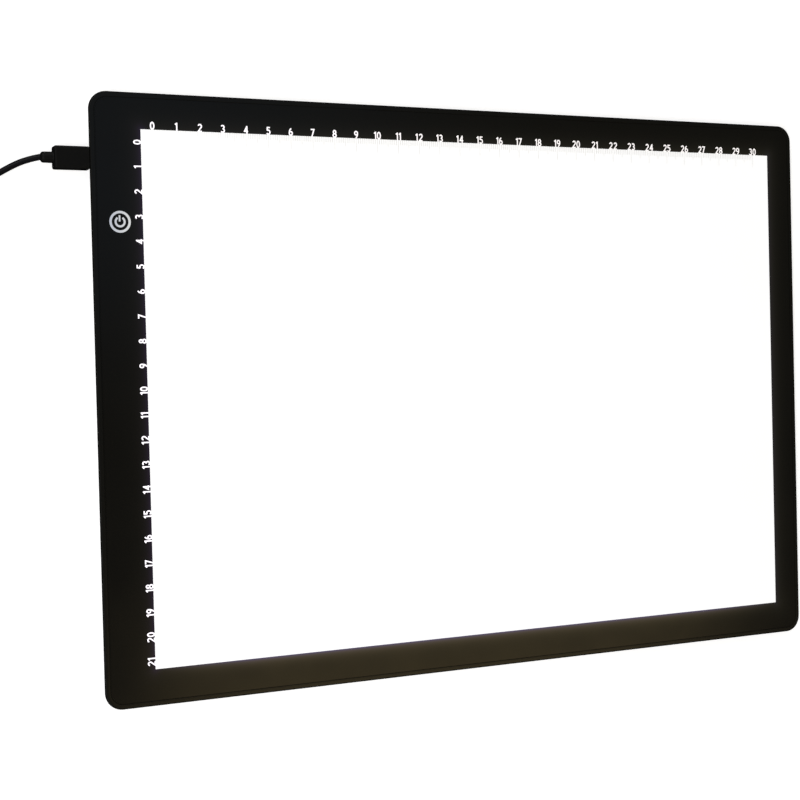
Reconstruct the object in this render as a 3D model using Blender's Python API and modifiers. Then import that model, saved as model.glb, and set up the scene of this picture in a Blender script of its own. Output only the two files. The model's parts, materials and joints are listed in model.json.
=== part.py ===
"""An edge-lit LED tracing pad that lies on a table, with its plug-in USB lead.

Metres, +Z up. The lit face points up. The socket is on the -X side, and the top row of the
centimetre scale runs along the +Y side. The origin is on the table, at the middle of the pad.
"""

import math

import bmesh
import bpy
from mathutils import Matrix, Vector

# Lit window and the black borders round it
LIT_WIDTH = 0.31355
LIT_DEPTH = 0.2181
BORDER_LEFT = 0.02115
BORDER_RIGHT = 0.0145
BORDER_TOP = 0.01485
BORDER_BOTTOM = 0.0151
CORNER_RADIUS = 0.0075

# Layers, from the table up
FOOT_HEIGHT = 0.0010
FLOOR_THICKNESS = 0.0008
REFLECTOR_THICKNESS = 0.0002
GUIDE_THICKNESS = 0.0019
DIFFUSER_THICKNESS = 0.0003
PANEL_THICKNESS = 0.0012
PRINT_THICKNESS = 0.0001
LAYER_GAP = 0.0001

# Rim of the rear cover: a lip outside the panel and a ledge under it
LIP_WIDTH = 0.0022
GROOVE_WIDTH = 0.0004
LEDGE_WIDTH = 0.0018
LIP_FILLET = 0.0007
BASE_FILLET = 0.0006
SIDE_TAPER = 0.0016
TAPE_THICKNESS = 0.0002
TAPE_INSET = 0.0002
FIT_GAP = 0.0003

# Light guide and its row of LEDs
GUIDE_LAP = 0.0040
LED_COUNT = 36
LED_LENGTH = 0.0030
LED_HEIGHT = 0.0015
LED_DEPTH = 0.0008
LED_SINK = 0.0001
LED_END_MARGIN = 0.0040
STRIP_THICKNESS = 0.0006
STRIP_HEIGHT = 0.0021

# Control board behind the wide left border
BOARD_THICKNESS = 0.0008
BOARD_TAPE_THICKNESS = 0.0002
BOARD_TAPE_MARGIN = 0.0015
BOARD_BEYOND_SOCKET = 0.0070
BOARD_BEYOND_TOUCH = 0.0090
BOARD_TO_STRIP = 0.0008
BOARD_CORNER = 0.0006
SPACER_GAP = 0.0015

# Touch symbol's place, from the lit window's top left corner, and what lies under it
TOUCH_ACROSS = 0.00955
TOUCH_DOWN = 0.03725
ELECTRODE_RADIUS = 0.0036
ELECTRODE_THICKNESS = 0.0001
TOUCH_FOAM_SIDE = 0.0044
TOUCH_FOAM_CORNER = 0.0002

# Micro connector on the left edge, from the lit window's top
SOCKET_DOWN = 0.01205
SOCKET_LENGTH = 0.0050
SOCKET_WALL = 0.0002
SOCKET_RECESS = 0.0012
SOCKET_HEADROOM = 0.0001
TONGUE_WIDTH = 0.0050
TONGUE_LENGTH = 0.0034
TONGUE_THICKNESS = 0.0004
PLUG_SHELL_WIDTH = 0.00685
PLUG_SHELL_HEIGHT = 0.0018
PLUG_SHELL_WALL = 0.0002
PLUG_SHELL_LENGTH = 0.0056
PLUG_CLEARANCE = 0.00015
PLUG_TONGUE_THICKNESS = 0.00045

# Overmould and neck of the micro plug
PLUG_LENGTH = 0.0136
PLUG_WIDTH = 0.00915
PLUG_HEIGHT = 0.0060
PLUG_FILLET = 0.0011
PLUG_STANDOFF = 0.0003
NECK_LENGTH = 0.0047
NECK_RADIUS = 0.00225
NECK_END_RADIUS = 0.0022
NECK_ROUNDING = 0.0009
NECK_FLARE = 0.0004

# Lead
CORD_DIAMETER = 0.0025
CORD_GAP = 0.0003
FREE_POINT_STEP = 0.0014
TAIL_POINT_STEP = 0.0018
ROUTE_PARTS = 20

# Coil of the length that is put away
COIL_MEAN_RADIUS = 0.0138
COIL_LAYERS = 4
COIL_TURNS_PER_LAYER = 3
COIL_TURN_GAP = 0.0005
COIL_POINTS_PER_TURN = 24
COIL_CLIMB_SHARE = 0.5
COIL_ENTRY_HEADING = math.radians(210)
COIL_EXIT_HEADING = math.radians(270)
TIE_THICKNESS = 0.0005
TIE_WIDTH = 0.0060
TIE_LIFT = 0.0001

# Far plug, of the standard wide kind
FAR_NECK_LENGTH = 0.0100
FAR_NECK_RADIUS = 0.0030
FAR_NECK_END_RADIUS = 0.0019
FAR_BODY_LENGTH = 0.0230
FAR_BODY_WIDTH = 0.0158
FAR_BODY_HEIGHT = 0.0078
FAR_BODY_FILLET = 0.0012
FAR_SHELL_LENGTH = 0.0187
FAR_SHELL_WIDTH = 0.0120
FAR_SHELL_HEIGHT = 0.0045
FAR_SHELL_WALL = 0.0003
FAR_TONGUE_THICKNESS = 0.0018
FAR_TONGUE_SETBACK = 0.0010
FAR_BODY_LIFT = 0.0001

# Feet
FOOT_RADIUS = 0.0050
FOOT_INSET = 0.0200
FOOT_ROUNDING = 0.0003

# Wires from the board to the LED strip
WIRE_RADIUS = 0.00045
WIRE_START_DOWN = 0.0040
WIRE_BEND = 0.0020
WIRE_SPACING = 0.0022
WIRE_INSET = 0.0026
WIRE_POINT_STEP = 0.0008

# How finely round shapes are divided
CORNER_STEPS = 10
SMALL_CORNER_STEPS = 4
FILLET_STEPS = 4
FOOT_SIDES = 32
NECK_SIDES = 20
OVERRUN = 0.0010
WELD_DISTANCE = 0.00001
SHARP_ANGLE = math.radians(40)
FILLET_ANGLE = math.radians(60)

# The free stretches' own points, as steps from where each begins
FREE_RUN = [
    (0.0000, 0.0000, 0.0000),
    (-0.0015, -0.0003, -0.0002),
    (-0.0037, -0.00085, -0.0007),
    (-0.0052, -0.0013, -0.0010),
    (-0.0075, -0.0021, -0.00145),
    (-0.0105, -0.0035, -0.0018),
    (-0.0137, -0.00525, -0.00188),
    (-0.0160, -0.0066, -0.0019),
    (-0.0260, -0.0124, -0.0019),
    (-0.0370, -0.0189, -0.0018),
    (-0.0445, -0.0232, -0.0013),
    (-0.0492, -0.02591, -0.00105),
]
TAIL_RUN = [
    (0.0000, 0.0000, 0.0000),
    (0.0000, -0.0060, -0.0004),
    (0.0004, -0.0130, -0.0032),
    (0.0010, -0.0200, -0.0070),
    (0.0018, -0.0270, -0.0093),
    (0.0028, -0.0350, -0.0098),
    (0.0040, -0.0450, -0.0098),
    (0.0048, -0.0540, -0.0097),
    (0.0051, -0.0620, -0.0089),
    (0.0052, -0.0700, -0.0075),
    (0.0052, -0.0760, -0.00715),
]

# The small parts on the board: size, then place as shares across and along the board
CHIP_SIZE = (0.0039, 0.0049, 0.0012)
TRANSISTOR_SIZE = (0.0013, 0.0029, 0.0010)
CAPACITOR_SIZE = (0.0028, 0.0035, 0.0012)
RESISTOR_SIZE = (0.0016, 0.0032, 0.0006)
CHIP_SHARE = (0.34, 0.42)
TRANSISTOR_SHARE = (0.74, 0.60)
CAPACITOR_SHARE = (0.72, 0.74)
RESISTOR_SHARES = ((0.78, 0.50), (0.78, 0.40))

# Connector sizes that follow the plug's metal nose
socket_width = PLUG_SHELL_WIDTH + 2 * PLUG_CLEARANCE + 2 * SOCKET_WALL
socket_height = PLUG_SHELL_HEIGHT + 2 * PLUG_CLEARANCE + 2 * SOCKET_WALL

# Heights worked out from the layers, with room for the connector under the panel
base_z = FOOT_HEIGHT
floor_z = base_z + FLOOR_THICKNESS
reflector_z = floor_z + LAYER_GAP
guide_z = reflector_z + REFLECTOR_THICKNESS + LAYER_GAP
diffuser_z = guide_z + GUIDE_THICKNESS + LAYER_GAP
layers_top_z = diffuser_z + DIFFUSER_THICKNESS + LAYER_GAP
socket_top_z = floor_z + SOCKET_HEADROOM + socket_height + SOCKET_HEADROOM
panel_z = max(layers_top_z, socket_top_z)
print_z = panel_z + PANEL_THICKNESS + LAYER_GAP
face_z = print_z + PRINT_THICKNESS
ledge_z = panel_z - LAYER_GAP - TAPE_THICKNESS - LAYER_GAP
board_z = floor_z + LAYER_GAP + BOARD_TAPE_THICKNESS + LAYER_GAP
board_top_z = board_z + BOARD_THICKNESS
socket_z = (floor_z + panel_z) / 2

# Outlines, as (low, high) limits across and along the pad
pad_width = BORDER_LEFT + LIT_WIDTH + BORDER_RIGHT
pad_depth = BORDER_TOP + LIT_DEPTH + BORDER_BOTTOM
pad_x = (-pad_width / 2, pad_width / 2)
pad_y = (-pad_depth / 2, pad_depth / 2)
lit_x = (pad_x[0] + BORDER_LEFT, pad_x[1] - BORDER_RIGHT)
lit_y = (pad_y[0] + BORDER_BOTTOM, pad_y[1] - BORDER_TOP)


def inset(limits, by):
    """Limits drawn in at both ends."""
    return (limits[0] + by, limits[1] - by)


def around(middle, size):
    """Limits of a given size about a middle."""
    return (middle - size / 2, middle + size / 2)


def rising(low, height):
    """Limits that start at a height."""
    return (low, low + height)


panel_inset = LIP_WIDTH + GROOVE_WIDTH
cavity_inset = panel_inset + LEDGE_WIDTH
cavity_x = inset(pad_x, cavity_inset)
cavity_y = inset(pad_y, cavity_inset)
guide_x = (lit_x[0] - GUIDE_LAP, cavity_x[1] - FIT_GAP)
guide_y = inset(cavity_y, FIT_GAP)
led_x = (guide_x[0] - FIT_GAP - LED_DEPTH, guide_x[0] - FIT_GAP)
strip_x = (led_x[0] - STRIP_THICKNESS, led_x[0])
strip_y = inset(guide_y, FIT_GAP)
socket_y = lit_y[1] - SOCKET_DOWN
touch_x = lit_x[0] - TOUCH_ACROSS
touch_y = lit_y[1] - TOUCH_DOWN
board_x = (cavity_x[0] + FIT_GAP, strip_x[0] - BOARD_TO_STRIP)
board_y = (touch_y - BOARD_BEYOND_TOUCH, socket_y + BOARD_BEYOND_SOCKET)

# Where the connector and the lead go
socket_x = rising(pad_x[0] + SOCKET_RECESS, SOCKET_LENGTH)
slot_y = around(socket_y, socket_width + 2 * FIT_GAP)
slot_z = around(socket_z, socket_height + 2 * FIT_GAP)
plug_end_x = pad_x[0] - PLUG_STANDOFF
plug_x = (plug_end_x - PLUG_LENGTH, plug_end_x)
neck_x = (plug_x[0] - LAYER_GAP - NECK_LENGTH, plug_x[0] - LAYER_GAP)
cord_exit = Vector((neck_x[0] - CORD_GAP, socket_y, socket_z))

# Coil sizes
cord_radius = CORD_DIAMETER / 2
coil_pitch = CORD_DIAMETER + COIL_TURN_GAP
coil_spread = COIL_TURNS_PER_LAYER * coil_pitch
coil_inner_radius = COIL_MEAN_RADIUS - coil_spread / 2
coil_base_z = TIE_LIFT + TIE_THICKNESS + FIT_GAP + cord_radius


def clear_scene():
    """Remove what the scene holds."""
    for old in list(bpy.data.objects):
        bpy.data.objects.remove(old)


def new_collection(name):
    collection = bpy.data.collections.new(name)
    bpy.context.scene.collection.children.link(collection)
    return collection


clear_scene()
pad = new_collection("led_tracing_pad")
cutters = new_collection("cutters")


def material(name, colour, roughness, metallic=0.0):
    """A plain Principled material."""
    made = bpy.data.materials.new(name)
    made.use_nodes = True
    shader = made.node_tree.nodes["Principled BSDF"]
    shader.inputs["Base Color"].default_value = (*colour, 1.0)
    shader.inputs["Roughness"].default_value = roughness
    shader.inputs["Metallic"].default_value = metallic
    made.diffuse_color = (*colour, 1.0)
    return made


tray_black = material("tray_black", (0.0055, 0.0055, 0.0050), 0.60)
print_black = material("print_black", (0.0040, 0.0040, 0.0037), 0.20)
opal_white = material("opal_white", (0.95, 0.95, 0.95), 0.30)
film_white = material("film_white", (0.90, 0.90, 0.90), 0.60)
clear_acrylic = material("clear_acrylic", (0.80, 0.86, 0.88), 0.05)
board_white = material("board_white", (0.82, 0.82, 0.78), 0.45)
board_green = material("board_green", (0.02, 0.16, 0.06), 0.40)
chip_black = material("chip_black", (0.015, 0.015, 0.016), 0.55)
capacitor_tan = material("capacitor_tan", (0.52, 0.33, 0.10), 0.50)
steel = material("steel", (0.62, 0.62, 0.60), 0.30, 1.0)
copper = material("copper", (0.80, 0.45, 0.28), 0.30, 1.0)
insulator_black = material("insulator_black", (0.02, 0.02, 0.02), 0.45)
insulator_white = material("insulator_white", (0.85, 0.85, 0.83), 0.45)
foam_grey = material("foam_grey", (0.10, 0.10, 0.10), 0.95)
tape_black = material("tape_black", (0.02, 0.02, 0.02), 0.80)
rubber_black = material("rubber_black", (0.02, 0.02, 0.02), 0.85)
lead_black = material("lead_black", (0.0055, 0.0055, 0.0055), 0.42)
wire_red = material("wire_red", (0.55, 0.02, 0.02), 0.45)
wire_black = material("wire_black", (0.02, 0.02, 0.02), 0.45)


def add(name, mesh, finish, place=(0, 0, 0)):
    """Put a finished bmesh in the pad's collection as one named object."""
    data = bpy.data.meshes.new(name)
    mesh.to_mesh(data)
    mesh.free()
    made = bpy.data.objects.new(name, data)
    made.location = place
    data.materials.append(finish)
    pad.objects.link(made)
    return made


def smooth(made):
    """Shade a round piece smooth, with its real corners left sharp."""
    made.data.shade_smooth()
    made.data.set_sharp_from_angle(angle=SHARP_ANGLE)
    return made


def block(name, x, y, z, finish, corner=0.0, fillet=0.0, rims=(0.0, 0.0), steps=CORNER_STEPS):
    """A box between limits.

    Its upright corners are rounded by corner, its lower and upper rims by rims, or all its edges
    by fillet.
    """
    mesh = bmesh.new()
    bmesh.ops.create_cube(mesh, size=1.0)
    sides = Vector((x[1] - x[0], y[1] - y[0], z[1] - z[0]))
    bmesh.ops.scale(mesh, vec=sides, verts=mesh.verts)
    if corner > 0:
        upright = [edge for edge in mesh.edges if edge.verts[0].co.xy == edge.verts[1].co.xy]
        bmesh.ops.bevel(
            mesh, geom=upright, offset=corner, segments=steps, profile=0.5, affect="EDGES"
        )
    for rounding, side in zip(rims, (-1, 1)):
        if rounding > 0:
            rim = [edge for edge in mesh.edges if all(end.co.z * side > 0 for end in edge.verts)]
            bmesh.ops.bevel(
                mesh, geom=rim, offset=rounding, segments=FILLET_STEPS, profile=0.5, affect="EDGES"
            )
    middle = (sum(x) / 2, sum(y) / 2, sum(z) / 2)
    made = add(name, mesh, finish, middle)
    if fillet > 0:
        rounding = made.modifiers.new("rounding", "BEVEL")
        rounding.width = fillet
        rounding.segments = FILLET_STEPS
        rounding.limit_method = "ANGLE"
        rounding.angle_limit = FILLET_ANGLE
    return made


def combine(made, tool, operation):
    """Cut a tool out of a piece, or join it on, and put the tool with the cutters."""
    pad.objects.unlink(tool)
    cutters.objects.link(tool)
    tool.hide_render = True
    tool.display_type = "WIRE"
    change = made.modifiers.new(tool.name, "BOOLEAN")
    change.operation = operation
    change.solver = "EXACT"
    change.object = tool
    return made


def cut(made, tool):
    return combine(made, tool, "DIFFERENCE")


def join(made, tool):
    return combine(made, tool, "UNION")


def turned(name, profile, sides, finish, place, turn=(0, 0, 0)):
    """A solid of revolution from (radius, height) points, listed from its top to its bottom."""
    mesh = bmesh.new()
    corners = [mesh.verts.new((radius, 0, height)) for radius, height in profile]
    for upper, lower in zip(corners, corners[1:]):
        mesh.edges.new((upper, lower))
    made = add(name, mesh, finish, place)
    made.rotation_euler = turn
    spin = made.modifiers.new("spin", "SCREW")
    spin.steps = sides
    spin.render_steps = sides
    spin.use_merge_vertices = True
    spin.merge_threshold = WELD_DISTANCE
    return made


def tube(name, points, radius, finish, resolution=2):
    """A round cord through points, with flat closed ends."""
    curve = bpy.data.curves.new(name, "CURVE")
    curve.dimensions = "3D"
    curve.bevel_depth = radius
    curve.bevel_resolution = resolution
    curve.use_fill_caps = True
    spline = curve.splines.new("POLY")
    spline.points.add(len(points) - 1)
    for slot, point in zip(spline.points, points):
        slot.co = (*point, 1.0)
    spline.use_smooth = True
    curve.materials.append(finish)
    made = bpy.data.objects.new(name, curve)
    pad.objects.link(made)
    return made


def between(before, start, end, after, share):
    """A point part of the way from start to end, on the smooth curve through all four."""
    squared = share * share
    cubed = squared * share
    return 0.5 * (
        2 * start
        + (end - before) * share
        + (2 * before - 5 * start + 4 * end - after) * squared
        + (3 * start - before - 3 * end + after) * cubed
    )


def smooth_route(stops, step):
    """Evenly spaced points on a smooth curve through the stops."""
    stops = [Vector(stop) for stop in stops]
    padded = [2 * stops[0] - stops[1], *stops, 2 * stops[-1] - stops[-2]]
    fine = []
    for index in range(len(stops) - 1):
        stretch = padded[index : index + 4]
        fine += [between(*stretch, part / ROUTE_PARTS) for part in range(ROUTE_PARTS)]
    fine.append(stops[-1])
    travelled = [0.0]
    for near, far in zip(fine, fine[1:]):
        travelled.append(travelled[-1] + (far - near).length)
    count = max(2, round(travelled[-1] / step))
    points = []
    index = 0
    for number in range(count):
        wanted = travelled[-1] * number / count
        while travelled[index + 1] < wanted:
            index += 1
        reached = (wanted - travelled[index]) / (travelled[index + 1] - travelled[index])
        points.append(fine[index].lerp(fine[index + 1], reached))
    points.append(fine[-1])
    return points


def route_length(points):
    return sum((far - near).length for near, far in zip(points, points[1:]))


def heading(angle):
    """The flat direction at an angle from +X."""
    return Vector((math.cos(angle), math.sin(angle), 0))


# Casing


def lean_in(made, top, low, by):
    """Draw a piece's sides in below a height, by more the lower they are."""
    for corner in made.data.vertices:
        height = made.location.z + corner.co.z
        share = min(max((top - height) / (top - low), 0), 1)
        corner.co.x -= math.copysign(by * share, corner.co.x)
        corner.co.y -= math.copysign(by * share, corner.co.y)


def rear_cover():
    """The tray: a floor, a lip round the panel, a ledge under it and the connector's slot."""
    tray = block(
        "rear_cover", pad_x, pad_y, (base_z, face_z), tray_black, CORNER_RADIUS,
        rims=(BASE_FILLET, LIP_FILLET),
    )
    lean_in(tray, face_z - LIP_FILLET, base_z, SIDE_TAPER)
    pocket_x = inset(pad_x, LIP_WIDTH)
    pocket_y = inset(pad_y, LIP_WIDTH)
    pocket_z = (ledge_z, face_z + OVERRUN)
    pocket_corner = CORNER_RADIUS - LIP_WIDTH
    pocket = block("panel_pocket", pocket_x, pocket_y, pocket_z, tray_black, pocket_corner)
    cavity_z = (floor_z, face_z + OVERRUN)
    cavity_corner = CORNER_RADIUS - cavity_inset
    cavity = block("cavity", cavity_x, cavity_y, cavity_z, tray_black, cavity_corner)
    slot_x = (pad_x[0] - OVERRUN, socket_x[1] + FIT_GAP)
    slot = block("connector_slot", slot_x, slot_y, slot_z, tray_black)
    cut(tray, pocket)
    cut(tray, cavity)
    cut(tray, slot)
    return smooth(tray)


def front_panel():
    """The opal sheet, with its lit middle standing up through the printed border."""
    x = inset(pad_x, panel_inset)
    y = inset(pad_y, panel_inset)
    corner = CORNER_RADIUS - panel_inset
    sheet = block("front_panel", x, y, rising(panel_z, PANEL_THICKNESS), opal_white, corner)
    middle = block("lit_middle", lit_x, lit_y, (panel_z + PANEL_THICKNESS / 2, face_z), opal_white)
    return join(sheet, middle)


def printed_bezel():
    """The black border: a film let in round the lit middle, flush with it."""
    x = inset(pad_x, panel_inset)
    y = inset(pad_y, panel_inset)
    corner = CORNER_RADIUS - panel_inset
    film = block("printed_bezel", x, y, (print_z, face_z), print_black, corner)
    window_x = inset(lit_x, -LAYER_GAP)
    window_y = inset(lit_y, -LAYER_GAP)
    window_z = (print_z - OVERRUN, face_z + OVERRUN)
    window = block("lit_window", window_x, window_y, window_z, print_black)
    return cut(film, window)


def sheet_stack():
    """The optical sheets that fill the cavity beside the electronics."""
    corner = CORNER_RADIUS - cavity_inset - FIT_GAP
    layers = (
        ("reflector_sheet", rising(reflector_z, REFLECTOR_THICKNESS), film_white),
        ("light_guide", rising(guide_z, GUIDE_THICKNESS), clear_acrylic),
        ("diffuser_sheet", rising(diffuser_z, DIFFUSER_THICKNESS), film_white),
    )
    for name, z, finish in layers:
        block(name, guide_x, guide_y, z, finish, corner)


def panel_tapes():
    """Double-sided tape on the ledge, in four straight runs that leave the slot free."""
    z = rising(ledge_z + LAYER_GAP, TAPE_THICKNESS)
    outer_x = inset(pad_x, panel_inset + TAPE_INSET)
    outer_y = inset(pad_y, panel_inset + TAPE_INSET)
    inner_x = inset(cavity_x, -TAPE_INSET)
    inner_y = inset(cavity_y, -TAPE_INSET)
    run_x = inset(pad_x, CORNER_RADIUS)
    run_y = inset(pad_y, CORNER_RADIUS)
    left_y = (run_y[0], slot_y[0] - FIT_GAP)
    block("panel_tape_left", (outer_x[0], inner_x[0]), left_y, z, tape_black)
    block("panel_tape_right", (inner_x[1], outer_x[1]), run_y, z, tape_black)
    block("panel_tape_bottom", run_x, (outer_y[0], inner_y[0]), z, tape_black)
    block("panel_tape_top", run_x, (inner_y[1], outer_y[1]), z, tape_black)


def feet():
    """A rubber foot under each corner."""
    top = base_z - LAYER_GAP
    profile = (
        (0, top),
        (FOOT_RADIUS, top),
        (FOOT_RADIUS, FOOT_ROUNDING),
        (FOOT_RADIUS - FOOT_ROUNDING, 0),
        (0, 0),
    )
    for end, y in zip(("bottom", "top"), inset(pad_y, FOOT_INSET)):
        for side, x in zip(("left", "right"), inset(pad_x, FOOT_INSET)):
            foot = turned(f"foot_{end}_{side}", profile, FOOT_SIDES, rubber_black, (x, y, 0))
            smooth(foot)


# Light source and electronics


def led_strip():
    """The narrow board on edge beside the guide, with its LEDs fused on."""
    board_limits_z = rising(floor_z + LAYER_GAP, STRIP_HEIGHT)
    strip = block("led_strip", strip_x, strip_y, board_limits_z, board_white)
    first = strip_y[0] + LED_END_MARGIN
    pitch = (strip_y[1] - strip_y[0] - 2 * LED_END_MARGIN) / (LED_COUNT - 1)
    sides = Vector((LED_DEPTH + LED_SINK, LED_LENGTH, LED_HEIGHT))
    row = bmesh.new()
    for number in range(LED_COUNT):
        packed = bmesh.ops.create_cube(row, size=1.0)["verts"]
        bmesh.ops.scale(row, vec=sides, verts=packed)
        bmesh.ops.translate(row, vec=(0, first + number * pitch, 0), verts=packed)
    middle_x = (led_x[0] - LED_SINK + led_x[1]) / 2
    leds = add("led_row", row, board_white, (middle_x, 0, guide_z + GUIDE_THICKNESS / 2))
    return join(strip, leds)


def control_board():
    """The touch dimmer's board, notched round the connector."""
    board = block(
        "control_board", board_x, board_y, (board_z, board_top_z), board_green, BOARD_CORNER,
        steps=SMALL_CORNER_STEPS,
    )
    notch_x = (board_x[0] - OVERRUN, socket_x[1] + FIT_GAP)
    notch_z = (board_z - OVERRUN, board_top_z + OVERRUN)
    cut(board, block("connector_notch", notch_x, slot_y, notch_z, board_green))
    tape_x = (socket_x[1] + FIT_GAP + BOARD_TAPE_MARGIN, board_x[1] - BOARD_TAPE_MARGIN)
    tape_y = inset(board_y, BOARD_TAPE_MARGIN)
    tape_z = rising(floor_z + LAYER_GAP, BOARD_TAPE_THICKNESS)
    block("board_tape", tape_x, tape_y, tape_z, tape_black)
    return board


def board_part(name, size, shares, finish):
    """A small packaged part that stands on the board."""
    x = around(board_x[0] + shares[0] * (board_x[1] - board_x[0]), size[0])
    y = around(board_y[0] + shares[1] * (board_y[1] - board_y[0]), size[1])
    return block(name, x, y, rising(board_top_z + LAYER_GAP, size[2]), finish)


def board_parts():
    board_part("controller_chip", CHIP_SIZE, CHIP_SHARE, chip_black)
    board_part("power_transistor", TRANSISTOR_SIZE, TRANSISTOR_SHARE, chip_black)
    board_part("filter_capacitor", CAPACITOR_SIZE, CAPACITOR_SHARE, capacitor_tan)
    for number, shares in enumerate(RESISTOR_SHARES, start=1):
        board_part(f"current_resistor_{number}", RESISTOR_SIZE, shares, chip_black)


def touch_sensor():
    """Foil under the panel behind the symbol, and the conductive foam that joins it to the board."""
    foil_z = panel_z - LAYER_GAP - ELECTRODE_THICKNESS
    foil = bmesh.new()
    bmesh.ops.create_cone(
        foil, cap_ends=True, segments=FOOT_SIDES, depth=ELECTRODE_THICKNESS,
        radius1=ELECTRODE_RADIUS, radius2=ELECTRODE_RADIUS,
    )
    add("touch_electrode", foil, copper, (touch_x, touch_y, foil_z + ELECTRODE_THICKNESS / 2))
    foam_z = (board_top_z + LAYER_GAP, foil_z - LAYER_GAP)
    foam_x = around(touch_x, TOUCH_FOAM_SIDE)
    foam_y = around(touch_y, TOUCH_FOAM_SIDE)
    block("touch_foam", foam_x, foam_y, foam_z, foam_grey, TOUCH_FOAM_CORNER, steps=SMALL_CORNER_STEPS)


def side_spacer():
    """Foam that backs the wide border beyond the board."""
    y = (cavity_y[0] + FIT_GAP, board_y[0] - SPACER_GAP)
    corner = CORNER_RADIUS - cavity_inset - FIT_GAP
    block("side_spacer", board_x, y, (floor_z + LAYER_GAP, panel_z - LAYER_GAP), foam_grey, corner)


def led_leads():
    """Two wires that leave the board's end and turn to the back of the LED strip."""
    z = board_top_z + LAYER_GAP + WIRE_RADIUS
    end_x = strip_x[0] - FIT_GAP
    for order, (name, finish) in enumerate(
        (("led_lead_positive", wire_red), ("led_lead_negative", wire_black))
    ):
        x = board_x[1] - WIRE_INSET - order * WIRE_SPACING
        turn_y = board_y[1] + WIRE_BEND + order * WIRE_SPACING
        stops = [
            (x, board_y[1] - WIRE_START_DOWN, z),
            (x, board_y[1] - WIRE_START_DOWN / 2, z),
            (x, board_y[1], z),
            (x, turn_y - WIRE_BEND, z),
            (x + WIRE_BEND / 3, turn_y - WIRE_BEND / 3, z),
            (x + WIRE_BEND, turn_y, z),
            (end_x, turn_y, z),
        ]
        tube(name, smooth_route(stops, WIRE_POINT_STEP), WIRE_RADIUS, finish)


# Connector and plug


def sleeve(name, x, y, z, wall, open_low, open_high, finish):
    """A rectangular metal tube along X, open at either end as asked."""
    outer = block(name, x, y, z, finish)
    bore_low = x[0] - OVERRUN if open_low else x[0] + wall
    bore_high = x[1] + OVERRUN if open_high else x[1] - wall
    bore = block(f"{name}_bore", (bore_low, bore_high), inset(y, wall), inset(z, wall), finish)
    return cut(outer, bore)


def usb_socket():
    """The micro socket's shell and tongue, let into the rim."""
    y = around(socket_y, socket_width)
    z = around(socket_z, socket_height)
    sleeve("usb_socket", socket_x, y, z, SOCKET_WALL, True, False, steel)
    tongue_end = socket_x[1] - SOCKET_WALL - LAYER_GAP
    nose_top = socket_z + PLUG_SHELL_HEIGHT / 2 - PLUG_SHELL_WALL
    tongue_top = nose_top - PLUG_CLEARANCE
    tongue_x = (tongue_end - TONGUE_LENGTH, tongue_end)
    tongue_z = (tongue_top - TONGUE_THICKNESS, tongue_top)
    tongue_y = around(socket_y, TONGUE_WIDTH)
    block("usb_socket_tongue", tongue_x, tongue_y, tongue_z, insulator_black)


def turned_neck(name, length, radii, rounding, flare, sides, finish, end, turn):
    """A tapered strain relief, from its wide base to a rounded end on the cord's side.

    The base spreads by flare, where there is one.
    """
    base_radius, end_radius = radii
    spread = []
    if flare > 0:
        spread = [(base_radius + flare, length), (base_radius + flare / 4, length - flare / 3)]
    profile = (
        (0, length),
        *spread,
        (base_radius, length - flare),
        (end_radius, rounding),
        (end_radius - rounding / 4, rounding / 3),
        (end_radius - rounding, 0),
        (0, 0),
    )
    return smooth(turned(name, profile, sides, finish, end, turn))


def micro_plug():
    """The overmould, its neck, and the metal nose that goes into the socket."""
    y = around(socket_y, PLUG_WIDTH)
    z = around(socket_z, PLUG_HEIGHT)
    pieces = [smooth(block("plug_body", plug_x, y, z, lead_black, fillet=PLUG_FILLET))]
    neck_place = (neck_x[0], socket_y, socket_z)
    pieces.append(
        turned_neck(
            "plug_relief", NECK_LENGTH, (NECK_RADIUS, NECK_END_RADIUS), NECK_ROUNDING,
            NECK_FLARE, NECK_SIDES, lead_black, neck_place, (0, math.radians(90), 0),
        )
    )
    nose_x = rising(plug_end_x + LAYER_GAP, PLUG_SHELL_LENGTH)
    nose_y = around(socket_y, PLUG_SHELL_WIDTH)
    nose_z = around(socket_z, PLUG_SHELL_HEIGHT)
    pieces.append(
        sleeve("plug_shell", nose_x, nose_y, nose_z, PLUG_SHELL_WALL, True, True, steel)
    )
    inner_low = nose_z[0] + PLUG_SHELL_WALL + LAYER_GAP
    tongue_z = rising(inner_low, PLUG_TONGUE_THICKNESS)
    tongue_y = around(socket_y, TONGUE_WIDTH)
    pieces.append(block("plug_tongue", nose_x, tongue_y, tongue_z, insulator_black))
    return pieces


# Lead


def coil_path(centre):
    """Points of the coil, from its entry on the bottom layer to its exit on the top one."""
    first_angle = COIL_ENTRY_HEADING - math.pi / 2
    extra_turn = (COIL_EXIT_HEADING - COIL_ENTRY_HEADING) / math.tau
    turns = COIL_LAYERS * COIL_TURNS_PER_LAYER + extra_turn
    count = round(turns * COIL_POINTS_PER_TURN)
    points = []
    for number in range(count + 1):
        turn = turns * number / count
        layer = min(int(turn // COIL_TURNS_PER_LAYER), COIL_LAYERS - 1)
        along = turn - layer * COIL_TURNS_PER_LAYER
        inward = layer % 2 == 0
        steps_in = COIL_TURNS_PER_LAYER - along if inward else along
        radius = coil_inner_radius + steps_in * coil_pitch
        nearest = min(max(round(turn / COIL_TURNS_PER_LAYER), 1), COIL_LAYERS - 1)
        climb = (turn - nearest * COIL_TURNS_PER_LAYER) / COIL_CLIMB_SHARE + 1 / 2
        share = min(max(climb, 0), 1)
        level = nearest - 1 + share * share * (3 - 2 * share)
        angle = first_angle + turn * math.tau
        points.append(centre + radius * heading(angle) + Vector((0, 0, level * coil_pitch)))
    entry = points[0] - CORD_DIAMETER * heading(COIL_ENTRY_HEADING)
    leave = points[-1] + CORD_DIAMETER * heading(COIL_EXIT_HEADING)
    return [entry, *points, leave]


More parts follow.
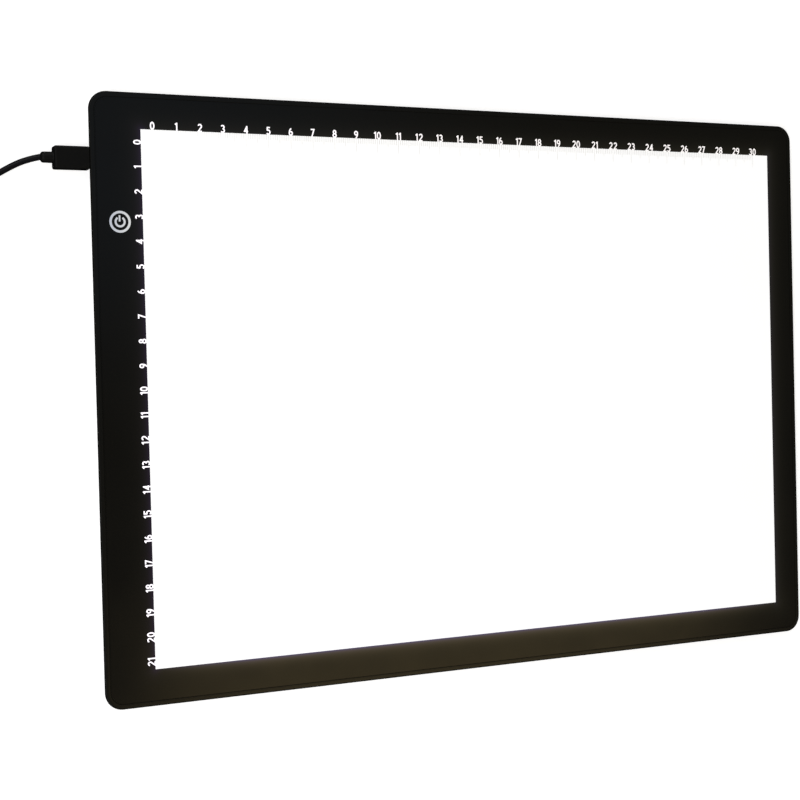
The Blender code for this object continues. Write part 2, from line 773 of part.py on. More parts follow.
def least_gap(points):
    """The smallest space between turns of the coil that aren't neighbours on it."""
    apart = COIL_POINTS_PER_TURN // 2
    least = math.inf
    for index, point in enumerate(points):
        for other in points[index + apart :]:
            least = min(least, (other - point).length)
    return least - CORD_DIAMETER


def coil_tie(centre):
    """A flat strap round all the turns, on the side away from the entry."""
    angle = COIL_ENTRY_HEADING + math.pi / 2
    half_turns = (COIL_TURNS_PER_LAYER - 1) / 2 * coil_pitch
    low_radius = COIL_MEAN_RADIUS - half_turns
    inner_turn = math.sqrt(low_radius**2 - (TIE_WIDTH / 2) ** 2)
    hole_low = inner_turn - cord_radius - FIT_GAP
    hole_high = COIL_MEAN_RADIUS + half_turns + cord_radius + FIT_GAP
    hole_height = (COIL_LAYERS - 1) * coil_pitch + CORD_DIAMETER + 2 * FIT_GAP
    outer_x = around((hole_low + hole_high) / 2, hole_high - hole_low + 2 * TIE_THICKNESS)
    outer_z = rising(TIE_LIFT, hole_height + 2 * TIE_THICKNESS)
    strap_y = around(0, TIE_WIDTH)
    strap = block("coil_tie", outer_x, strap_y, outer_z, rubber_black)
    opening_y = around(0, TIE_WIDTH + 2 * OVERRUN)
    opening = block(
        "tie_opening", inset(outer_x, TIE_THICKNESS), opening_y,
        inset(outer_z, TIE_THICKNESS), rubber_black,
    )
    swing = Matrix.Translation((centre.x, centre.y, 0)) @ Matrix.Rotation(angle, 4, "Z")
    for made in (strap, opening):
        made.matrix_basis = swing @ Matrix.Translation(made.location)
    return cut(strap, opening)


def far_plug(neck_end):
    """The wide plug at the lead's far end, flat on the table and pointing to -Y."""
    x = neck_end.x
    z = FAR_BODY_LIFT + FAR_BODY_HEIGHT / 2
    neck_y = neck_end.y - CORD_GAP
    pieces = [
        turned_neck(
            "usb_a_relief", FAR_NECK_LENGTH, (FAR_NECK_RADIUS, FAR_NECK_END_RADIUS),
            NECK_ROUNDING, 0, NECK_SIDES, lead_black, (x, neck_y, z), (math.radians(90), 0, 0),
        )
    ]
    body_y = neck_y - FAR_NECK_LENGTH - LAYER_GAP
    body_limits = (body_y - FAR_BODY_LENGTH, body_y)
    body = block(
        "usb_a_body", around(x, FAR_BODY_WIDTH), body_limits, around(z, FAR_BODY_HEIGHT),
        lead_black, fillet=FAR_BODY_FILLET,
    )
    pieces.append(smooth(body))
    shell_high = body_limits[0] - LAYER_GAP
    shell_y = (shell_high - FAR_SHELL_LENGTH, shell_high)
    shell_x = around(x, FAR_SHELL_WIDTH)
    shell_z = around(z, FAR_SHELL_HEIGHT)
    shell = block("usb_a_shell", shell_x, shell_y, shell_z, steel)
    bore_y = inset(shell_y, -OVERRUN)
    bore = block(
        "usb_a_bore", inset(shell_x, FAR_SHELL_WALL), bore_y, inset(shell_z, FAR_SHELL_WALL), steel
    )
    pieces.append(cut(shell, bore))
    tongue_x = inset(shell_x, FAR_SHELL_WALL + LAYER_GAP)
    tongue_y = (shell_y[0] + FAR_TONGUE_SETBACK, shell_y[1])
    tongue_z = rising(shell_z[0] + FAR_SHELL_WALL + LAYER_GAP, FAR_TONGUE_THICKNESS)
    pieces.append(block("usb_a_tongue", tongue_x, tongue_y, tongue_z, insulator_white))
    return pieces


def lead():
    """The cord: a free run from the plug, the coil, and a tail to the far plug."""
    run = smooth_route([cord_exit + Vector(step) for step in FREE_RUN], FREE_POINT_STEP)
    pieces = [tube("usb_cord", run, cord_radius, lead_black)]
    entry_heading = heading(COIL_ENTRY_HEADING)
    entry = run[-1] + (CORD_GAP + CORD_DIAMETER) * entry_heading
    towards_centre = heading(COIL_ENTRY_HEADING + math.pi / 2)
    outer_radius = coil_inner_radius + coil_spread
    centre = entry + outer_radius * towards_centre
    centre.z = coil_base_z
    turns = coil_path(centre)
    pieces.append(tube("cord_coil", turns, cord_radius, lead_black, resolution=1))
    pieces.append(coil_tie(centre))
    tail_start = turns[-1] + CORD_GAP * heading(COIL_EXIT_HEADING)
    tail = smooth_route([tail_start + Vector(step) for step in TAIL_RUN], TAIL_POINT_STEP)
    pieces.append(tube("cord_tail", tail, cord_radius, lead_black))
    pieces += far_plug(tail[-1])
    total = sum(route_length(points) for points in (run, turns, tail)) + 2 * CORD_GAP
    print(f"cord length {total:.4f} m, coil {route_length(turns):.4f} m")
    print(f"least gap between the coil's turns {least_gap(turns) * 1000:.2f} mm")
    print(f"coil centre {centre.x:.5f}, {centre.y:.5f}, {centre.z:.5f}")
    return pieces


def on_the_lead(pieces):
    """Hang the lead's pieces on an empty on the line along which the plug pulls out."""
    axis = bpy.data.objects.new("plug_slide_axis", None)
    axis.empty_display_size = PLUG_WIDTH
    axis.location = (pad_x[0], socket_y, socket_z)
    pad.objects.link(axis)
    for piece in pieces:
        piece.parent = axis
        piece.matrix_parent_inverse = Matrix.Translation(axis.location).inverted()


rear_cover()
front_panel()
printed_bezel()
sheet_stack()
panel_tapes()
feet()
led_strip()
control_board()
board_parts()
touch_sensor()
side_spacer()
led_leads()
usb_socket()
on_the_lead(micro_plug() + lead())
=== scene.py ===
import json
import math

import bmesh
import bpy
from mathutils import Matrix, Vector


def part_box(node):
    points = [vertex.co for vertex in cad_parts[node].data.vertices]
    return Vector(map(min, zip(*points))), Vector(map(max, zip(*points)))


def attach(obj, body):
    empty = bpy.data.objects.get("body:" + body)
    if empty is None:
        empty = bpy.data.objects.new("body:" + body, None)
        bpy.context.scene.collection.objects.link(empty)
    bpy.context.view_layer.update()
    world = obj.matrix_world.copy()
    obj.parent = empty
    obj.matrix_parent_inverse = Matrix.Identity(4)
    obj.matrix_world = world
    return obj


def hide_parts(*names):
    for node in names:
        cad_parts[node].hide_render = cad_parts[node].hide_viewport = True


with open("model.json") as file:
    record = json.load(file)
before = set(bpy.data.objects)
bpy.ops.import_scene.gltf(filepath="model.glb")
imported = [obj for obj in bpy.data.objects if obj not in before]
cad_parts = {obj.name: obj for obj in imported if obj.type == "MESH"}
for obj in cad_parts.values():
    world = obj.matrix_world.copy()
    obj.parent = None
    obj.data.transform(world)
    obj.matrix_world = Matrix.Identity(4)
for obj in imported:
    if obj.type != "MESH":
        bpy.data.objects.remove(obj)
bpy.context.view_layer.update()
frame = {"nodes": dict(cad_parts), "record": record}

# Looks of an edge-lit tracing pad: camera and cord, finishes, casing, scale, plugs, inside, studio.
# Metres, in the part's own frame: the lit face points up and the scale's long row is towards +Y.

# Camera, fitted to the centimetre scale in the photograph
CAMERA_PLACE = (-0.335728, 0.011992, 0.627431)
CAMERA_RIGHT = (0.903004, -0.024698, 0.428922)
CAMERA_UP = (0.031884, 0.999446, -0.009577)
CAMERA_LENS = 71.26
CAMERA_SENSOR = 36.0

# Borders round the lit window and the rim outside them, as in the part's source
BORDER_LEFT = 0.02115
BORDER_RIGHT = 0.0145
BORDER_TOP = 0.01485
BORDER_BOTTOM = 0.0151
CORNER_RADIUS = 0.0075
FLOOR_THICKNESS = 0.0008
LIP_WIDTH = 0.0022
GROOVE_WIDTH = 0.0004
LEDGE_WIDTH = 0.0018
LIP_FILLET = 0.0007
LIP_INNER_FILLET = 0.00015
LEDGE_DEPTH = 0.0018
BASE_FILLET = 0.0006
SIDE_TAPER = 0.0016
BEAD_CLEARANCE = 0.00003
BEAD_DEPTH = 0.00018
SLOT_GAP = 0.0003
OVERRUN = 0.0010

# Cord and coil, as in the part's source
CORD_DIAMETER = 0.0025
CORD_GAP = 0.0003
CORD_BEVEL_STEPS = 5
ROUTE_PARTS = 20
FREE_POINT_STEP = 0.0014
TAIL_POINT_STEP = 0.0018
COIL_MEAN_RADIUS = 0.0138
COIL_LAYERS = 4
COIL_TURNS_PER_LAYER = 3
COIL_TURN_GAP = 0.0005
COIL_POINTS_PER_TURN = 24
COIL_CLIMB_SHARE = 0.5
COIL_ENTRY_HEADING = math.radians(210)
COIL_EXIT_HEADING = math.radians(270)
FREE_RUN = (
    (0, 0, 0), (-0.0015, -0.0003, -0.0002), (-0.0037, -0.00085, -0.0007),
    (-0.0052, -0.0013, -0.0010), (-0.0075, -0.0021, -0.00145), (-0.0105, -0.0035, -0.0018),
    (-0.0137, -0.00525, -0.00188), (-0.0160, -0.0066, -0.0019), (-0.0260, -0.0124, -0.0019),
    (-0.0370, -0.0189, -0.0018), (-0.0445, -0.0232, -0.0013), (-0.0492, -0.02591, -0.00105),
)
TAIL_RUN = (
    (0, 0, 0), (0, -0.0060, -0.0004), (0.0004, -0.0130, -0.0032), (0.0010, -0.0200, -0.0070),
    (0.0018, -0.0270, -0.0093), (0.0028, -0.0350, -0.0098), (0.0040, -0.0450, -0.0098),
    (0.0048, -0.0540, -0.0097), (0.0051, -0.0620, -0.0089), (0.0052, -0.0700, -0.0075),
    (0.0052, -0.0760, -0.00715),
)

# Centimetre scale
SCALE_START_RIGHT = 0.00479
SCALE_START_DOWN = 0.00516
CENTIMETRE = 0.010
LAST_NUMBER_TOP = 30
LAST_NUMBER_LEFT = 21
DIGIT_HEIGHT = 0.0033
DIGIT_STROKE = 0.00054
DIGIT_SPACE = 0.00030
LEAST_MITRE = 0.5
DIGIT_LIFT = 0.00002
DIGIT_FADE = 0.150
TICK_LENGTHS = (0.0058, 0.0022, 0.0036)
TICK_WIDTHS = (0.00012, 0.00016, 0.00014)
TICK_LIFT = 0.00001
TICK_FADE = 0.060

# Touch symbol, from the lit window's top left corner
TOUCH_ACROSS = 0.00955
TOUCH_DOWN = 0.03725
OUTER_RING_RADIUS = 0.0039
OUTER_RING_STROKE = 0.00096
OUTER_RING_SIDES = 60
INNER_RING_RADIUS = 0.00185
INNER_RING_STROKE = 0.00082
INNER_RING_GAP = 32
INNER_RING_STEPS = 40
BAR_REACH = (0.0001, 0.0026)
BAR_STROKE = 0.00070
BAR_SHIFT = 0.00020

# The lit sheet's own light, and a glow painted on the print beside it
OPAL_GLOW = 0.68
OPAL_EDGE = (0.0060, 0.0090)
# Painted glow on the black print round the window, standing in for the window's glare
PAINTED_GLOW_LENGTH = 0.0035
PAINTED_GLOW_COLOURS = ((0.0085, 0.0074, 0.0058, 1), (0.0130, 0.0118, 0.0080, 1))
PAINTED_GLOW_TURN = 0.0030
PAINTED_GLOW_LOW_FADE = 0.042

# Stronger painted glow on the print close to the window, as (side, length, colour)
NEAR_PAINTED_GLOWS = (
    ("left", 0.0012, (0.0165, 0.0097, 0.0265, 1)),
    ("right", 0.0012, (0.0140, 0.0125, 0.0170, 1)),
    ("below", 0.00145, (0.098, 0.077, 0.045, 1)),
    ("below", 0.00055, (0.055, 0.045, 0.175, 1)),
)

# Feet
FOOT_ROUNDING = 0.00045
FOOT_CORE_SHARE = 0.02
FOOT_RING_SHARES = (0.62, 0.72)
FOOT_RING_DEPTH = 0.00015

# Micro plug
PLUG_FILLET = 0.0007
PLUG_FRONT_FILLET = 0.00015
PLUG_FRONT_GAP = 0.0001
PLUG_CORNER = 0.0011
SEAM_WIDTH = 0.00024
SEAM_DEPTH = 0.00010
NECK_RADIUS = 0.00225
NECK_END_RADIUS = 0.0022
NECK_ROUNDING = 0.0011
NECK_FLARE = 0.0004
NOSE_WALL = 0.0002
NOSE_SHOULDER = 0.0002
NOSE_CHAMFER = 0.0005
NOSE_WINDOW = (0.0011, 0.0008)
NOSE_WINDOW_BACK = 0.0021
NOSE_WINDOW_SPREAD = 0.0038

# Far plug, its grips and ribs as (count, start, pitch, width, slope, depth)
FAR_FILLET = 0.0012
FAR_CORNER = 0.0018
FAR_GRIPS = (4, 0.0060, 0.0024, 0.0011, 0.0003, 0.0005)
FAR_NECK_RADIUS = 0.0030
FAR_NECK_END_RADIUS = 0.0019
FAR_NECK_ROUNDING = 0.0006
FAR_NECK_RIBS = (4, 0.0016, 0.0020, 0.0009, 0.00015, 0.0005)
FAR_SHELL_CORNER = 0.0005
FAR_SHELL_WALL = 0.0003
FAR_WINDOW = 0.0024
FAR_WINDOW_BACK = 0.0052
FAR_WINDOW_SPREAD = 0.0056
CONTACTS = ((-0.0035, 0.0086), (-0.0010, 0.0074), (0.0010, 0.0074), (0.0035, 0.0086))
CONTACT_WIDTH = 0.0010
CONTACT_SETBACK = 0.0016
CONTACT_LIFT = 0.00006
FAR_TONGUE_FILLET = 0.0005

# Strap round the coil
STRAP_THICKNESS = 0.0005
STRAP_WIDTH = 0.0060
STRAP_LIFT = 0.0001
STRAP_FREEDOM = 0.0003
STRAP_CORNER = 0.0013
STRAP_EDGE = 0.00012
STRAP_TAB_SHARES = (0.16, 0.78)
STRAP_TAB_CORNER = 0.0012
STRAP_TAB_NARROWER = 0.0003

# Inside
LED_COUNT = 36
LED_END_MARGIN = 0.0040
LED_WINDOW = (0.0023, 0.0010)
LED_WINDOW_LIFT = 0.00002
LED_WINDOW_CORNER = 0.0002
LEG_PITCH = 0.00127
LEG_WIDTH = 0.00042
LEG_THICKNESS = 0.00018
LEG_REACH = 0.0009
LEG_BEND_SHARES = (0.30, 0.50)
LEG_LIFT = 0.00002
LEG_ROWS = {
    "controller_chip": ((-1, (-1.5, -0.5, 0.5, 1.5)), (1, (-1.5, -0.5, 0.5, 1.5))),
    "power_transistor": ((-1, (-0.75, 0.75)), (1, (0,))),
}
CAPPED_PARTS = ("filter_capacitor", "current_resistor_1", "current_resistor_2")
CAP_LENGTH = 0.0005
CAP_SKIN = 0.00004

# Studio: lamps as (name, place, side, power), and the sky that the black border mirrors
LAMPS = (
    ("key", (-1.25, -0.75, 1.25), 1.1, 17),
    ("fill", (-0.9, 1.3, 1.2), 1.1, 13),
)
FLOOR_REACH = 4.0
FLOOR_GLOWS = (0.70, 0.95)
FLOOR_GLOW_REACH = (0.8, 2.4)
SKY_LEAST_RISE = 0.05
SKY_RISE = (0.05, 0.45)
SKY_HORIZON = (1, 1, 1, 1)
SKY_OVERHEAD = (0.075, 0.068, 0.050, 1)
SKY_PATCHES = (
    ((0.115, 0.135, 0.160, 1), (-0.5, 0.1, 0.28, 0.60), (-0.03, 0.10, 0.6, 1.2)),
    ((0.87, 0.67, 0.335, 1), (0.262, 0.345, 0.675, 0.80), (-0.9, -0.5, -0.195, -0.160)),
)

# How finely round shapes are divided
CORNER_STEPS = 16
SMALL_CORNER_STEPS = 4
TINY_CORNER_STEPS = 3
FILLET_STEPS = 6
ROUND_SIDES = 64
SOFT_EDGE_ANGLE = math.radians(35)

# Colours of the record's material slots, and of three finishes that have no slot of their own
COLOURS = {row["slot"]: tuple(row["base_color"][:3]) for row in frame["record"]["materials"]}
COLOURS["cord_black"] = (0.0050, 0.0048, 0.0066)
COLOURS["strap_black"] = COLOURS["rubber_black"]
COLOURS["gold"] = (0.83, 0.60, 0.24)

# Plain mouldings: gloss, scale and depth of the grain, then spread of tone and shine
MOULDED = {
    "film_white": (0.62, 4000, 0.000008, 0.03),
    "board_white": (0.45, 3500, 0.000006, 0.05),
    "chip_black": (0.58, 9000, 0.00002),
    "capacitor_tan": (0.5, 7000, 0.00001, 0.2),
    "insulator_black": (0.48, 6000, 0.00001),
    "insulator_white": (0.42, 6000, 0.00001, 0.03),
    "rubber_black": (0.82, 4200, 0.00004, 0.14, 0.35),
    "wire_red": (0.42, 6000, 0.00001),
    "wire_black": (0.42, 6000, 0.00001),
}

# Metals: gloss, and how close the drawn lines lie along each axis
METALS = {
    "steel": (0.27, (900, 900, 9000)),
    "copper": (0.3, (400, 7000, 7000)),
    "gold": (0.25, (7000, 500, 7000)),
}

# Limits of the main parts by axis, and what follows from them
pad_x, pad_y, pad_z = zip(*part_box("rear_cover"))
plug_x, plug_y, plug_z = zip(*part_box("plug_body"))
neck_x, neck_y, neck_z = zip(*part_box("plug_relief"))
far_x, _, far_z = zip(*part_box("usb_a_body"))
face = pad_z[1]
lit_x = (pad_x[0] + BORDER_LEFT, pad_x[1] - BORDER_RIGHT)
lit_y = (pad_y[0] + BORDER_BOTTOM, pad_y[1] - BORDER_TOP)
zero_x, zero_y = lit_x[0] + SCALE_START_RIGHT, lit_y[1] - SCALE_START_DOWN
touch_place = Vector((lit_x[0] - TOUCH_ACROSS, lit_y[1] - TOUCH_DOWN))
coil_pitch = CORD_DIAMETER + COIL_TURN_GAP
coil_base = STRAP_LIFT + STRAP_THICKNESS + STRAP_FREEDOM + CORD_DIAMETER / 2
cord_start = Vector((neck_x[0] - CORD_GAP, sum(neck_y) / 2, sum(neck_z) / 2))
far_middle = Vector((sum(far_x) / 2, 0, sum(far_z) / 2))
far_place = Matrix.Translation(far_middle) @ Matrix(((0, -1, 0), (1, 0, 0), (0, 0, 1))).to_4x4()


# Camera


def put(name, data):
    """A new object in the scene."""
    made = bpy.data.objects.new(name, data)
    bpy.context.scene.collection.objects.link(made)
    return made


def photo_camera():
    """The photograph's camera."""
    data = bpy.data.cameras.new("photo_camera")
    data.sensor_width = CAMERA_SENSOR
    data.lens = CAMERA_LENS
    right = Vector(CAMERA_RIGHT).normalized()
    back = right.cross(Vector(CAMERA_UP)).normalized()
    turned_by = Matrix((right, back.cross(right), back)).transposed().to_4x4()
    camera = put("photo_camera", data)
    camera.matrix_world = Matrix.Translation(CAMERA_PLACE) @ turned_by
    bpy.context.scene.camera = camera


# Route of the cord


def between(before, start, end, after, share):
    """A point part of the way from start to end, on the smooth curve through all four."""
    squared = share * share
    cubed = squared * share
    return 0.5 * (
        2 * start
        + (end - before) * share
        + (2 * before - 5 * start + 4 * end - after) * squared
        + (3 * start - before - 3 * end + after) * cubed
    )


def smooth_route(stops, step):
    """Evenly spaced points on a smooth curve through the stops."""
    padded = [2 * stops[0] - stops[1], *stops, 2 * stops[-1] - stops[-2]]
    shares = [part / ROUTE_PARTS for part in range(ROUTE_PARTS)]
    fine = []
    for index in range(len(stops) - 1):
        fine += [between(*padded[index : index + 4], share) for share in shares]
    fine.append(stops[-1])
    travelled = [0.0]
    for near, far in zip(fine, fine[1:]):
        travelled.append(travelled[-1] + (far - near).length)
    count = max(2, round(travelled[-1] / step))
    points = []
    index = 0
    for number in range(count):
        wanted = travelled[-1] * number / count
        while travelled[index + 1] < wanted:
            index += 1
        reached = (wanted - travelled[index]) / (travelled[index + 1] - travelled[index])
        points.append(fine[index].lerp(fine[index + 1], reached))
    points.append(fine[-1])
    return points


def heading(angle):
    """The flat direction at an angle from +X."""
    return Vector((math.cos(angle), math.sin(angle), 0))


def coil_path(centre):
    """Points of the coil, from its entry on the bottom layer to its exit on the top one."""
    inner_radius = COIL_MEAN_RADIUS - COIL_TURNS_PER_LAYER * coil_pitch / 2
    extra_turn = (COIL_EXIT_HEADING - COIL_ENTRY_HEADING) / math.tau
    turns = COIL_LAYERS * COIL_TURNS_PER_LAYER + extra_turn
    count = round(turns * COIL_POINTS_PER_TURN)
    points = []
    for number in range(count + 1):
        turn = turns * number / count
        layer = min(int(turn // COIL_TURNS_PER_LAYER), COIL_LAYERS - 1)
        along = turn - layer * COIL_TURNS_PER_LAYER
        steps_in = COIL_TURNS_PER_LAYER - along if layer % 2 == 0 else along
        nearest = min(max(round(turn / COIL_TURNS_PER_LAYER), 1), COIL_LAYERS - 1)
        climb = (turn - nearest * COIL_TURNS_PER_LAYER) / COIL_CLIMB_SHARE + 0.5
        share = min(max(climb, 0), 1)
        level = nearest - 1 + share * share * (3 - 2 * share)
        angle = COIL_ENTRY_HEADING - math.pi / 2 + turn * math.tau
        out = (inner_radius + steps_in * coil_pitch) * heading(angle)
        points.append(centre + out + Vector((0, 0, level * coil_pitch)))
    entry = points[0] - CORD_DIAMETER * heading(COIL_ENTRY_HEADING)
    leave = points[-1] + CORD_DIAMETER * heading(COIL_EXIT_HEADING)
    return [entry, *points, leave]


def cord_route():
    """The whole cord's points and the coil's centre, as the part's solids lie."""
    run = smooth_route([cord_start + Vector(step) for step in FREE_RUN], FREE_POINT_STEP)
    outer_radius = COIL_MEAN_RADIUS + COIL_TURNS_PER_LAYER * coil_pitch / 2
    entry = run[-1] + (CORD_GAP + CORD_DIAMETER) * heading(COIL_ENTRY_HEADING)
    centre = entry + outer_radius * heading(COIL_ENTRY_HEADING + math.pi / 2)
    centre.z = coil_base
    turns = coil_path(centre)
    tail_start = turns[-1] + CORD_GAP * heading(COIL_EXIT_HEADING)
    tail = smooth_route([tail_start + Vector(step) for step in TAIL_RUN], TAIL_POINT_STEP)
    return run + turns + tail, centre


# Finishes


class Graph:
    """The nodes of a material or of the world, and the colour that a material starts from."""

    def __init__(self, holder, shader, colour=None):
        holder.use_nodes = True
        self.tree = holder.node_tree
        self.shader = self.tree.nodes[shader]
        self.colour = colour

    def connect(self, node, inputs):
        """Set a node's inputs, or link them to other nodes' outputs."""
        for name, value in inputs.items():
            if isinstance(value, bpy.types.NodeSocket):
                self.tree.links.new(value, node.inputs[name])
            else:
                node.inputs[name].default_value = value

    def add(self, kind, inputs, **settings):
        """The outputs of a new node."""
        made = self.tree.nodes.new("ShaderNode" + kind)
        for name, value in settings.items():
            setattr(made, name, value)
        self.connect(made, inputs)
        return made.outputs

    def wear(self, **inputs):
        """Set or link the shader's own inputs, named with _ for a space."""
        self.connect(self.shader, {name.replace("_", " "): value for name, value in inputs.items()})

    def place(self, stretch=(1, 1, 1)):
        """Where a point lies in the frame, stretched by axis."""
        spot = self.add("TexCoord", {})["Object"]
        return self.add("Mapping", {"Vector": spot, "Scale": stretch})[0]

    def parts(self, vector):
        return self.add("SeparateXYZ", {0: vector})

    def noise(self, scale, detail=2.0, stretch=(1, 1, 1)):
        inputs = {"Vector": self.place(stretch), "Scale": scale, "Detail": detail}
        return self.add("TexNoise", inputs)[0]

    def ramp(self, value, low, high, first=0.3, last=0.7, kind="LINEAR"):
        """A value moved from one range to another."""
        inputs = {0: value, 1: first, 2: last, 3: low, 4: high}
        return self.add("MapRange", inputs, interpolation_type=kind)[0]

    def blend(self, share, first, second):
        """A colour between two."""
        return self.add("Mix", {0: share, 6: first, 7: second}, data_type="RGBA")[2]

    def shade(self, share):
        """The material's colour made lighter or darker."""
        return (*[min(part * share, 1.0) for part in self.colour], 1.0)

    def maths(self, operation, first, second=0.0):
        return self.add("Math", {0: first, 1: second}, operation=operation)[0]

    def vectors(self, operation, *values):
        return self.add("VectorMath", dict(enumerate(values)), operation=operation)

    def near(self, distance, length):
        """A share that falls off with distance."""
        return self.maths("POWER", math.e, self.maths("DIVIDE", distance, -length))

    def facing_up(self, low, high, first, last):
        """A value that changes as the surface turns to face upwards."""
        normal = self.add("NewGeometry", {})["Normal"]
        return self.ramp(self.parts(normal)[2], low, high, first, last)

    def bump(self, height, depth, strength=0.5):
        inputs = {"Height": height, "Distance": depth, "Strength": strength}
        return self.add("Bump", inputs)[0]


def moulded(graph, gloss, grain_scale, grain_depth, spread=0.14, shine=0.5):
    """Moulded plastic or rubber: uneven tone and gloss under a fine grain."""
    patches = graph.noise(70, 3.0)
    tone = graph.blend(patches, graph.shade(1 - spread), graph.shade(1 + spread))
    roughness = graph.ramp(graph.noise(grain_scale / 6), gloss - 0.05, gloss + 0.05)
    grain = graph.bump(graph.noise(grain_scale, 3.0), grain_depth)
    graph.wear(Base_Color=tone, Roughness=roughness, Normal=grain, Specular_IOR_Level=shine)


def brushed(graph, gloss, stretch):
    """Sheet metal with fine drawn lines along one axis."""
    lines = graph.noise(1.0, 3.0, stretch)
    tone = graph.blend(graph.ramp(lines, 0, 1), graph.shade(0.86), graph.shade(1.1))
    roughness = graph.ramp(graph.noise(220, 2.0), gloss - 0.07, gloss + 0.09)
    graph.wear(Base_Color=tone, Roughness=roughness, Metallic=1.0)
    graph.wear(Normal=graph.bump(lines, 0.000004, 0.4))


def tray_black(graph):
    """Matt textured sides and underside, with a smoother rim on top."""
    moulded(graph, 0.6, 5200, 0.00002)
    graph.wear(Specular_IOR_Level=graph.facing_up(0.0, 0.45, 0.90, 1.0))
    graph.wear(Roughness=graph.facing_up(0.7, 0.14, 0.90, 0.995))


def window_distance(graph):
    """How far a point lies outside the lit window."""
    middle = (sum(lit_x) / 2, sum(lit_y) / 2, 0)
    half = ((lit_x[1] - lit_x[0]) / 2, (lit_y[1] - lit_y[0]) / 2, 1)
    from_middle = graph.vectors("SUBTRACT", graph.place(), middle)[0]
    mirrored = graph.vectors("ABSOLUTE", from_middle)[0]
    beyond = graph.vectors("SUBTRACT", mirrored, half)[0]
    outside = graph.vectors("MAXIMUM", beyond, (0, 0, 0))[0]
    return graph.vectors("LENGTH", outside)["Value"]


def print_black(graph):
    """Black print on the sheet's edge, with a glow painted on it beside the window: painted light
    that stands in for the lit window's glare.

    The painted glow is stronger just below the window, and bluer close to its sides.
    """
    tone = graph.blend(graph.noise(22, 2.0), graph.shade(0.85), graph.shade(1.15))
    roughness = graph.ramp(graph.noise(45, 2.0), 0.11, 0.16)
    distance = window_distance(graph)
    across, along = graph.parts(graph.place())[:2]
    # Painted glow: emission on the print that fades with distance from the window
    painted_glow = graph.blend(graph.ramp(across, 0, 1, *lit_x), *PAINTED_GLOW_COLOURS)
    painted_glow = graph.blend(graph.near(distance, PAINTED_GLOW_LENGTH), (0, 0, 0, 1), painted_glow)
    below = graph.ramp(along, 1, 0, lit_y[0], lit_y[0] + PAINTED_GLOW_TURN)
    from_left = graph.ramp(across, 0, 1, lit_x[0], lit_x[0] + PAINTED_GLOW_LOW_FADE)
    from_right = graph.ramp(across, 1, 0, lit_x[1] - PAINTED_GLOW_LOW_FADE, lit_x[1])
    sides = {
        "left": graph.ramp(across, 1, 0, lit_x[0], lit_x[0] + PAINTED_GLOW_TURN),
        "right": graph.ramp(across, 0, 1, lit_x[1] - PAINTED_GLOW_TURN, lit_x[1]),
        "below": graph.maths("MULTIPLY", below, graph.maths("MULTIPLY", from_left, from_right)),
    }
    # Stronger bands of painted glow next to the window's sides and just below it
    for side, length, colour in NEAR_PAINTED_GLOWS:
        share = graph.maths("MULTIPLY", graph.near(distance, length), sides[side])
        painted_glow = graph.blend(share, painted_glow, colour)
    graph.wear(Base_Color=tone, Roughness=roughness, Emission_Color=painted_glow, Emission_Strength=1.0)
    graph.wear(Normal=graph.bump(graph.noise(900, 2.0), 0.000003, 0.3))


def opal_white(graph):
    """Opal sheet, lit evenly from behind, with its edges painted black."""
    clouds = graph.noise(12, 1.0)
    edge = graph.ramp(window_distance(graph), 0, 1, *OPAL_EDGE)
    tone = graph.blend(clouds, (0.60, 0.60, 0.60, 1), (0.64, 0.64, 0.64, 1))
    tone = graph.blend(edge, tone, (*COLOURS["print_black"], 1))
    glow = graph.blend(clouds, (0.97, 0.97, 0.98, 1), (1, 1, 1, 1))
    glow = graph.blend(edge, glow, (0, 0, 0, 1))
    graph.wear(Base_Color=tone, Emission_Color=glow, Emission_Strength=OPAL_GLOW)
    graph.wear(Roughness=graph.ramp(graph.noise(60), 0.26, 0.34))
    graph.wear(Normal=graph.bump(graph.noise(1500), 0.000004, 0.3))


def clear_acrylic(graph):
    """Acrylic with a grid of fine printed dots on its back."""
    inputs = {"Vector": graph.place((600, 600, 0)), "Scale": 1.0, "Randomness": 0.0}
    share = graph.ramp(graph.add("TexVoronoi", inputs)[0], 1.0, 0.0, 0.22, 0.30)
    tone = graph.blend(share, (0.86, 0.93, 0.95, 1), (0.95, 0.95, 0.95, 1))
    graph.wear(Base_Color=tone, Roughness=graph.ramp(share, 0.04, 0.5, 0, 1))
    graph.wear(Transmission_Weight=0.85, IOR=1.49)


def board_green(graph):
    """Solder mask over copper traces."""
    inputs = {"Vector": graph.place((900, 260, 0)), "Scale": 1.0, "Mortar Size": 0.10}
    traces = graph.add("TexBrick", inputs)["Fac"]
    graph.wear(Base_Color=graph.blend(traces, graph.shade(0.85), graph.shade(1.9)))
    graph.wear(Roughness=graph.ramp(graph.noise(800), 0.3, 0.42))
    graph.wear(Normal=graph.bump(traces, 0.00003, 0.6), Coat_Weight=0.3)


def foam_grey(graph):
    """Open foam, with small pores."""
    pores = graph.add("TexVoronoi", {"Vector": graph.place(), "Scale": 2600})[0]
    tone = graph.blend(graph.ramp(pores, 0, 1, 0.1, 0.6), graph.shade(0.45), graph.shade(1.25))
    graph.wear(Base_Color=tone, Roughness=0.95, Normal=graph.bump(pores, 0.0002, 0.9))


def tape_black(graph):
    """Cloth-backed tape."""
    inputs = {"Vector": graph.place(), "Scale": 900}
    threads = [graph.add("TexWave", inputs, bands_direction=axis)[1] for axis in "XY"]
    weave = graph.maths("MULTIPLY", *threads)
    graph.wear(Base_Color=graph.blend(weave, graph.shade(0.7), graph.shade(1.4)))
    graph.wear(Roughness=0.8, Normal=graph.bump(weave, 0.00004))


